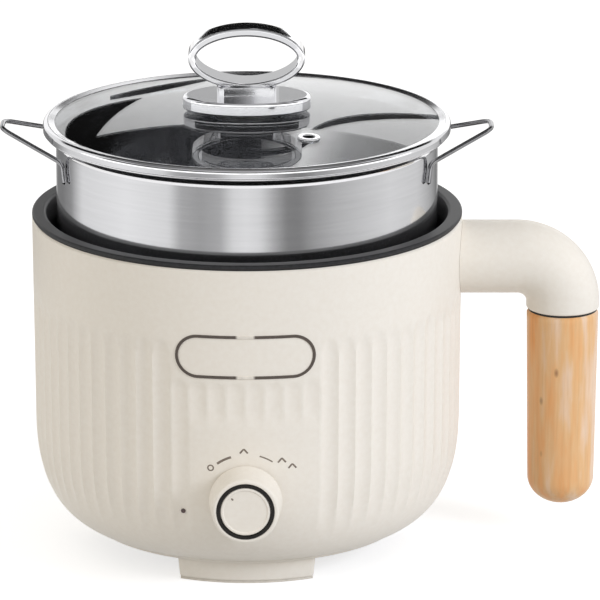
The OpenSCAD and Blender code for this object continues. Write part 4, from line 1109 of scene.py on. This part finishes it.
def disc_parts():
    """The knob's oval plate: turned, with a rounded upper edge and a bore, then drawn in front and back.

    Y keeps its length at the bore and shrinks evenly towards the edge.
    """
    bore = 2.6 * MM
    corners = np.array([
        (bore, DISC_Z, 0.1), (DISC_R, DISC_Z, 0.8), (DISC_R, DISC_TOP, 1.8), (bore, DISC_TOP, 0.1),
    ])
    points, faces = turned(corners * (1, 1, MM), 9, 160, True)
    share = (np.hypot(points[:, 0], points[:, 1]) - bore) / (DISC_R - bore)
    points[:, 1] *= 1 - (1 - DISC_DEPTH / DISC_R) * share
    return [(points, faces)]


def loop_parts(lid):
    """The knob's loop and its post.

    The loop is a band with rounded edges carried round inside an ellipse, thinner and deeper at its
    foot than at its top. The post is a rounded block that stands under it.
    """
    a = np.linspace(0, math.tau, 200, endpoint=False)
    half_w, half_h = LOOP_HALF, lid.loop_h / 2
    middle = LOOP_TOP - half_h
    high_share = (1 + np.sin(a)) / 2
    thick = lid.loop_low_t + (lid.loop_top_t - lid.loop_low_t) * np.sqrt(high_share)
    out = unit(np.stack([np.cos(a) / half_w, 0 * a, np.sin(a) / half_h], -1))
    path = np.stack([half_w * np.cos(a), 0 * a, middle + half_h * np.sin(a)], -1) - out * thick[:, None] / 2
    depth = lid.loop_low_d + (lid.loop_top_d - lid.loop_low_d) * high_share
    section = box_outline(lid.loop_top_t, lid.loop_low_d, 0.9 * MM, 6)
    y = section[:, 1] - np.sign(section[:, 1]) * (lid.loop_low_d - depth[:, None]) / 2
    band = np.stack([section[:, 0] * thick[:, None] / lid.loop_top_t, y], -1)
    loop = grid(swept(path, band, (0, 1, 0), loop=True), loop=True)
    flat = box_outline(lid.post_w, lid.post_d, 3 * MM)
    post = stacked([flat, flat], [DISC_TOP, middle - half_h + lid.loop_low_t / 2])
    return [loop, grid(capped(post))]


# Stage

# Colours of the key light, and of the fill and the sky
COOL = (0.84, 0.89, 1.0)
WARM = (1.0, 0.97, 0.925)
# Places of the softboxes, the point that they face and their width
KEY_PLACE = (1.9, -1.3, 1.2)
FILL_PLACE = (-2.0, -0.7, 0.8)
LAMP_AIM = (0, 0, 0.12)
LAMP_WIDTH = 0.8


def plus(tree, first, second):
    """A clamped sum of two values."""
    made = tree.nodes.new("ShaderNodeMath")
    made.operation = "ADD"
    made.use_clamp = True
    return join(made, first, second).outputs[0]


def choose(tree, lit, seen, output):
    """Joins two shaders to a tree's output: one for rays of light, and one for rays that look.

    Those that look come from the camera, off gloss or through glass.
    """
    path = add(tree, "LightPath").outputs
    both = plus(tree, path["Is Camera Ray"], path["Is Glossy Ray"])
    choice = add(tree, "MixShader", Fac=plus(tree, both, path["Is Transmission Ray"]))
    join(choice, lit.outputs[0], seen.outputs[0], 1)
    tree.links.new(choice.outputs[0], tree.nodes[output].inputs["Surface"])


def make_world(scene, strength):
    """An even sky: white where it is seen, and a little warm and of a plain strength where it lights."""
    scene.world = bpy.data.worlds.new("studio")
    scene.world.use_nodes = True
    tree = scene.world.node_tree
    light = plug(tree.nodes["Background"], Color=(*WARM, 1), Strength=strength)
    white = add(tree, "Background", Color=(1, 1, 1, 1), Strength=1.0)
    choose(tree, light, white, "World Output")


def make_floor():
    """A plain pale floor that keeps a soft shadow and runs out into the white background."""
    half, level, grey, shine = 12.0, -0.1 * MM, 0.6, 0.65
    corners = np.array([(x * half, y * half, level) for x, y in ((-1, -1), (1, -1), (1, 1), (-1, 1))])
    made, tree = new_material("pale_floor")
    tree.nodes.remove(tree.nodes["Principled BSDF"])
    matt = add(tree, "BsdfDiffuse", Color=(grey, grey, grey, 1))
    glow = add(tree, "Emission", Color=(1, 1, 1, 1), Strength=shine)
    pale = join(add(tree, "AddShader"), matt.outputs[0], glow.outputs[0])
    choose(tree, matt, pale, "Material Output")
    floor = new_object("floor", (corners, np.array([(0, 1, 2, 3)])), made)


# Tones of the ring card by degrees to the right of the camera's side
RING_TONES = [
    (-180, 0.03), (-171, 0.03), (-165, 0.75), (-152, 0.22), (-137, 0.22), (-122, 0.33), (-108, 0.85),
    (-70, 1.0), (-43, 0.87), (-36, 0.5), (-25, 0.42), (-14, 0.5), (-7, 0.85), (0, 0.93), (7.5, 0.85),
    (15, 0.5), (22, 0.27), (29, 0.26), (37, 0.4), (51, 0.57), (70, 0.72), (88, 0.84), (115, 0.75),
    (140, 0.4), (152, 0.2), (165, 0.75), (171, 0.03), (180, 0.03),
]


def standing(line, low_edge, high_edge):
    """A standing card over a flat line of x and y."""
    rows = [np.column_stack([line, np.full(len(line), z)]) for z in (low_edge, high_edge)]
    return grid(np.stack(rows), ring=False)


def arc_line(start, end, distance):
    """A flat arc round the object, by degrees to the right of the camera's side."""
    a = np.radians(np.linspace(start, end, int(abs(end - start) / 3) + 2))
    return distance * np.stack([np.sin(a), -np.cos(a)], -1)


def make_card(name, part, tones, strength=1.0):
    """A card that only polished surfaces see, as a studio stands them round metal.

    Its tones follow the turn round the object: a radial gradient, turned so that the camera's side is
    its middle, runs a ramp of greys.
    """
    made, tree = new_material(name)
    tree.nodes.remove(tree.nodes["Principled BSDF"])
    angle = gradient(tree, "RADIAL", Rotation=(0, 0, math.pi / 2))
    stops = [((degrees + 180) / 360, (grey, grey, grey)) for degrees, grey in tones]
    glow = add(tree, "Emission", Color=ramp_of(tree, angle, stops), Strength=strength)
    tree.links.new(glow.outputs[0], tree.nodes["Material Output"].inputs["Surface"])
    card = new_object(name, part, made)
    card.visible_camera = card.visible_diffuse = card.visible_shadow = False


# Tones of the right flag from its right end to its left one, and of the flags before the post
RIGHT_TONES = [
    (168, 0.34), (172, 0.28), (174.5, 0.36), (176, 0.7), (176.8, 1.0), (177.4, 0.95), (178.4, 0.28),
    (179.4, 0.02), (180, 0.006),
]
POST_TONES = [(-2.9, 0.04), (-1.1, 0.1), (-0.5, 0.3), (0, 0.5)]
BLACK, DARK, DUSK, GREY, PALE, WHITE = (
    [(-180, tone), (180, tone)] for tone in (0.006, 0.03, 0.2, 0.45, 0.6, 1.0)
)
# Tones of the flags behind the object, and three points of each one's lower and upper edge
FLAGS = {
    "dark_flag": (
        BLACK, [(-0.184, 0.53), (-0.08, 0.49), (0.005, 0.512)], [(-0.184, 1), (-0.08, 1), (0.005, 1)],
    ),
    "right_flag": (
        RIGHT_TONES, [(0.005, 0.512), (0.08, 0.518), (0.172, 0.57)], [(0.005, 1), (0.08, 1), (0.172, 1)],
    ),
    "left_flag": (
        BLACK, [(-0.155, 0.53), (-0.126, 0.425), (-0.095, 0.342)],
        [(-0.176, 0.516), (-0.155, 0.4), (-0.095, 0.339)],
    ),
    "far_flag": (
        BLACK, [(-0.121, 0.337), (-0.079, 0.308), (-0.04, 0.258)],
        [(-0.119, 0.314), (-0.077, 0.27), (-0.04, 0.24)],
    ),
    "arc_flag": (
        DARK, [(0.057, 0.516), (0.1, 0.453), (0.159, 0.411)], [(0.05, 0.518), (0.087, 0.43), (0.156, 0.389)],
    ),
}
# Distance of these flags behind the axis, and their strength
FLAG_BACK = 0.9
FLAG_GLOW = 2.4


def bowed(start, middle, end):
    """Points of the parabola from one point through a second to a third."""
    t = np.linspace(0, 1, 13)[:, None]
    start, middle, end = np.array(start), np.array(middle), np.array(end)
    return start * (1 - t) * (1 - 2 * t) + middle * 4 * t * (1 - t) + end * t * (2 * t - 1)


def flag_between(edges, back):
    """A flag between two lines of points, each across and up, that stands a way behind the axis."""
    rows = [np.insert(edge, 1, back, axis=1) for edge in edges]
    return grid(np.array(rows), ring=False)


def arch_edges():
    """Both edges of an arched flag over the loop: two ellipses that run together at their ends."""
    centre, end_wide, end_tall = 0.225, 0.038, 0.0278
    degrees = np.linspace(-72, 62, 40)
    a = np.radians(degrees)
    narrow = np.clip(np.maximum(degrees - 33, -43 - degrees) / 29, 0, 1)
    edges = []
    for wide, tall in ((0.036, 0.024), (0.04, 0.031)):
        across = wide + (end_wide - wide) * narrow
        rise = tall + (end_tall - tall) * narrow
        edges.append(np.stack([across * np.sin(a), centre + rise * np.cos(a)], -1))
    return edges


def vault(start, end):
    """A part of a round vault over the object, by degrees above the back's horizon."""
    half, radius, centre = 1.5, 1.4, 0.2
    a = np.radians(np.linspace(start, end, 12))[:, None]
    x = np.array([-half, half])
    points = np.stack([x + 0 * a, radius * np.cos(a) + 0 * x, centre + radius * np.sin(a) + 0 * x], -1)
    return grid(points, ring=False)


def line_across(start, end, back):
    """A flat line across, from a start to an end, that lies a way behind the axis."""
    return np.array([(start, back), (end, back)])


def make_cards():
    """A ring card round the foot of the object, flags behind and before it and vaults over it."""
    make_card("ring_card", standing(arc_line(-180, 180, 0.45), 0.001, 0.16), RING_TONES)
    make_card("front_card", standing(arc_line(-95, 95, 0.44), 0.2, 0.28), WHITE, 2)
    make_card("front_flag", standing(arc_line(-85, 85, 0.44), 0.32, 0.46), DARK)
    for name, low_edge, high_edge in (("post_flag", 0.213, 0.2362), ("foot_flag", 0.302, 0.318)):
        make_card(name, standing(arc_line(-2.9, 0, 0.43), low_edge, high_edge), POST_TONES)
    make_card("black_vault", vault(31, 60), BLACK)
    make_card("dark_vault", vault(60, 110), DUSK)
    make_card("grey_vault", vault(110, 136), GREY)
    bright_tones = [(-180, 0.9), (-172, 0.75), (172, 1.0), (180, 0.95)]
    make_card("bright_card", standing(line_across(-0.6, 0.6, 0.95), 0.2, 0.75), bright_tones, 1.6)
    make_card("arch_flag", flag_between(arch_edges(), 0.06), BLACK)
    make_card("loop_flag", standing(line_across(-0.014, 0.014, 0.0605), 0.206, 0.2312), PALE)
    make_card("disc_flag", standing(line_across(-0.06, 0.04, 0.88), 0.405, 0.442), GREY)
    for name, (tones, *edges) in FLAGS.items():
        make_card(name, flag_between([bowed(*edge) for edge in edges], FLAG_BACK), tones, FLAG_GLOW)


def make_softbox(name, place, power, tint):
    """A square soft light that faces the object."""
    light = bpy.data.lights.new(name, "AREA")
    light.size = LAMP_WIDTH
    light.energy = power
    light.color = tint
    lamp = bpy.data.objects.new(name, light)
    lamp.location = place
    lamp.visible_glossy = False
    lamp.rotation_euler = (Vector(LAMP_AIM) - lamp.location).to_track_quat("-Z", "Y").to_euler()
    bpy.context.scene.collection.objects.link(lamp)


def make_camera(scene, stage):
    """A long lens in front of the object, a little above it."""
    camera = bpy.data.objects.new("camera", bpy.data.cameras.new("camera"))
    camera.data.lens = stage.lens
    back, rise = math.cos(stage.elevation), math.sin(stage.elevation)
    camera.location = (stage.aim_x, -stage.distance * back, stage.aim_z + stage.distance * rise)
    camera.rotation_euler = (math.pi / 2 - stage.elevation, 0, 0)
    scene.collection.objects.link(camera)
    scene.camera = camera


# Operators


class MakeFinishes(bpy.types.Operator):
    """Makes the finishes and puts each on the solids of its slot"""

    bl_idname = "steamer.finishes"
    bl_label = "Finishes"

    def execute(self, context):
        make_finishes(context.scene.steamer_colours, context.scene.steamer_handle)
        for node, slot in NODE_SLOTS.items():
            mesh = frame["nodes"][node].data
            mesh.materials.clear()
            mesh.materials.append(FINISHES[slot])
        return {"FINISHED"}


class MakeShell(bpy.types.Operator):
    """Makes the fluted outer shell with its seats for dial and inlet"""

    bl_idname = "steamer.shell"
    bl_label = "Outer shell"

    def execute(self, context):
        body = context.scene.steamer_body
        make_piece("fluted_shell", shell_parts(body), "base", "cream_plastic", ["outer_shell"])
        return {"FINISHED"}


class MakeBase(bpy.types.Operator):
    """Makes the base cover with its vents and feet"""

    bl_idname = "steamer.base"
    bl_label = "Base cover"

    def execute(self, context):
        body = context.scene.steamer_body
        make_piece("footed_base", base_parts(body), "base", "cream_plastic", ["base_cover"])
        return {"FINISHED"}


class MakePot(bpy.types.Operator):
    """Makes the coated pot"""

    bl_idname = "steamer.pot"
    bl_label = "Inner pot"

    def execute(self, context):
        body = context.scene.steamer_body
        make_piece("coated_pot", pot_parts(body), "base", "pot_coating", ["inner_pot", "pot_collar"], 60)
        return {"FINISHED"}


class MakeFront(bpy.types.Operator):
    """Makes the badge frame and the print round the dial"""

    bl_idname = "steamer.front"
    bl_label = "Badge frame and print"

    def execute(self, context):
        body, dial = context.scene.steamer_body, context.scene.steamer_dial
        make_piece("badge_outline", badge_parts(body, dial), "base", "badge_line", ["badge_frame"])
        make_piece("dial_print", mark_parts(body, dial), "base", "ink")
        return {"FINISHED"}


class MakeDial(bpy.types.Operator):
    """Makes the dial with its ring, cap and pointer"""

    bl_idname = "steamer.dial"
    bl_label = "Dial"

    def execute(self, context):
        dial = context.scene.steamer_dial
        make_piece("dial_body", knob_parts(dial), "dial", "cream_plastic", ["control_knob"])
        make_piece("dial_ring", knob_ring_parts(dial), "dial", "dark_ring", ["knob_ring"])
        make_piece("dial_cap", knob_cap_parts(dial), "dial", "cream_plastic", ["knob_cap"])
        make_piece("dial_pointer", pointer_parts(dial), "dial", "ink")
        return {"FINISHED"}


class MakeInlet(bpy.types.Operator):
    """Makes the power inlet at the back"""

    bl_idname = "steamer.inlet"
    bl_label = "Power inlet"

    def execute(self, context):
        make_piece("inlet_socket", inlet_parts(), "base", "black_plastic", ["power_inlet"])
        return {"FINISHED"}


class MakeHandle(bpy.types.Operator):
    """Makes the arm and the wooden grip"""

    bl_idname = "steamer.handle"
    bl_label = "Side handle"

    def execute(self, context):
        body, handle = context.scene.steamer_body, context.scene.steamer_handle
        make_piece("bent_arm", arm_parts(body, handle), "base", "cream_plastic", ["handle_arm"])
        make_piece("wooden_grip", grip_parts(handle), "base", "wood_grip", ["handle_grip"])
        return {"FINISHED"}


class MakeBasket(bpy.types.Operator):
    """Makes the perforated basket and its two wire handles"""

    bl_idname = "steamer.basket"
    bl_label = "Steaming basket"

    def execute(self, context):
        basket = context.scene.steamer_basket
        make_piece("steel_basket", basket_parts(basket), "basket", "basket_steel", ["steamer_basket"])
        for side, way in (("right", 1), ("left", -1)):
            parts, nodes = wire_parts(basket, way), ["basket_handle_" + side]
            make_piece(side + "_wire", parts, "basket", "basket_steel", nodes, finish="handle_wire")
        return {"FINISHED"}


class MakeLid(bpy.types.Operator):
    """Makes the lid's band, vent and knob"""

    bl_idname = "steamer.lid"
    bl_label = "Glass lid"

    def execute(self, context):
        lid = context.scene.steamer_lid
        make_piece("lid_band", band_parts(lid), "lid", "lid_steel", ["lid_rim"])
        make_piece("steam_eyelet", vent_parts(lid), "lid", "lid_steel", ["lid_vent"])
        make_piece("disc_plate", disc_parts(), "lid", "knob_chrome", ["knob_disc"])
        make_piece("finger_loop", loop_parts(lid), "lid", "knob_chrome", ["lid_loop"])
        return {"FINISHED"}


class MakeStage(bpy.types.Operator):
    """Makes the floor, the light and the camera"""

    bl_idname = "steamer.stage"
    bl_label = "Stage"

    def execute(self, context):
        stage = context.scene.steamer_stage
        context.scene.view_settings.view_transform = "Standard"
        make_world(context.scene, stage.sky)
        make_floor()
        make_softbox("key_softbox", KEY_PLACE, stage.key, COOL)
        make_softbox("fill_softbox", FILL_PLACE, stage.fill, WARM)
        make_cards()
        make_camera(context.scene, stage)
        return {"FINISHED"}


# Panel and registration


class SteamerPanel(bpy.types.Panel):
    """Lists the pieces and their sizes in the sidebar"""

    bl_idname = "VIEW3D_PT_steamer"
    bl_label = "Steamer pot"
    bl_space_type = "VIEW_3D"
    bl_region_type = "UI"
    bl_category = "Steamer"

    def draw(self, context):
        for maker in MAKERS:
            self.layout.operator(maker.bl_idname, text=maker.bl_label)
        for name, group in GROUPS.items():
            box = self.layout.box()
            for field in group.__annotations__:
                box.prop(getattr(context.scene, name), field)


MAKERS = [
    MakeStage, MakeFinishes, MakeShell, MakeBase, MakePot, MakeFront, MakeDial, MakeInlet, MakeHandle,
    MakeBasket, MakeLid,
]
CLASSES = [*GROUPS.values(), *MAKERS, SteamerPanel]


def register():
    """Registers the classes and puts the groups of sizes on the scene."""
    for made in CLASSES:
        bpy.utils.register_class(made)
    for name, group in GROUPS.items():
        setattr(bpy.types.Scene, name, PointerProperty(type=group))


def unregister():
    """Takes the groups and classes away again."""
    for name in GROUPS:
        delattr(bpy.types.Scene, name)
    for made in reversed(CLASSES):
        bpy.utils.unregister_class(made)


def main():
    """Makes every piece in order."""
    register()
    for maker in MAKERS:
        family, step = maker.bl_idname.split(".")
        getattr(getattr(bpy.ops, family), step)()


if __name__ == "__main__":
    main()
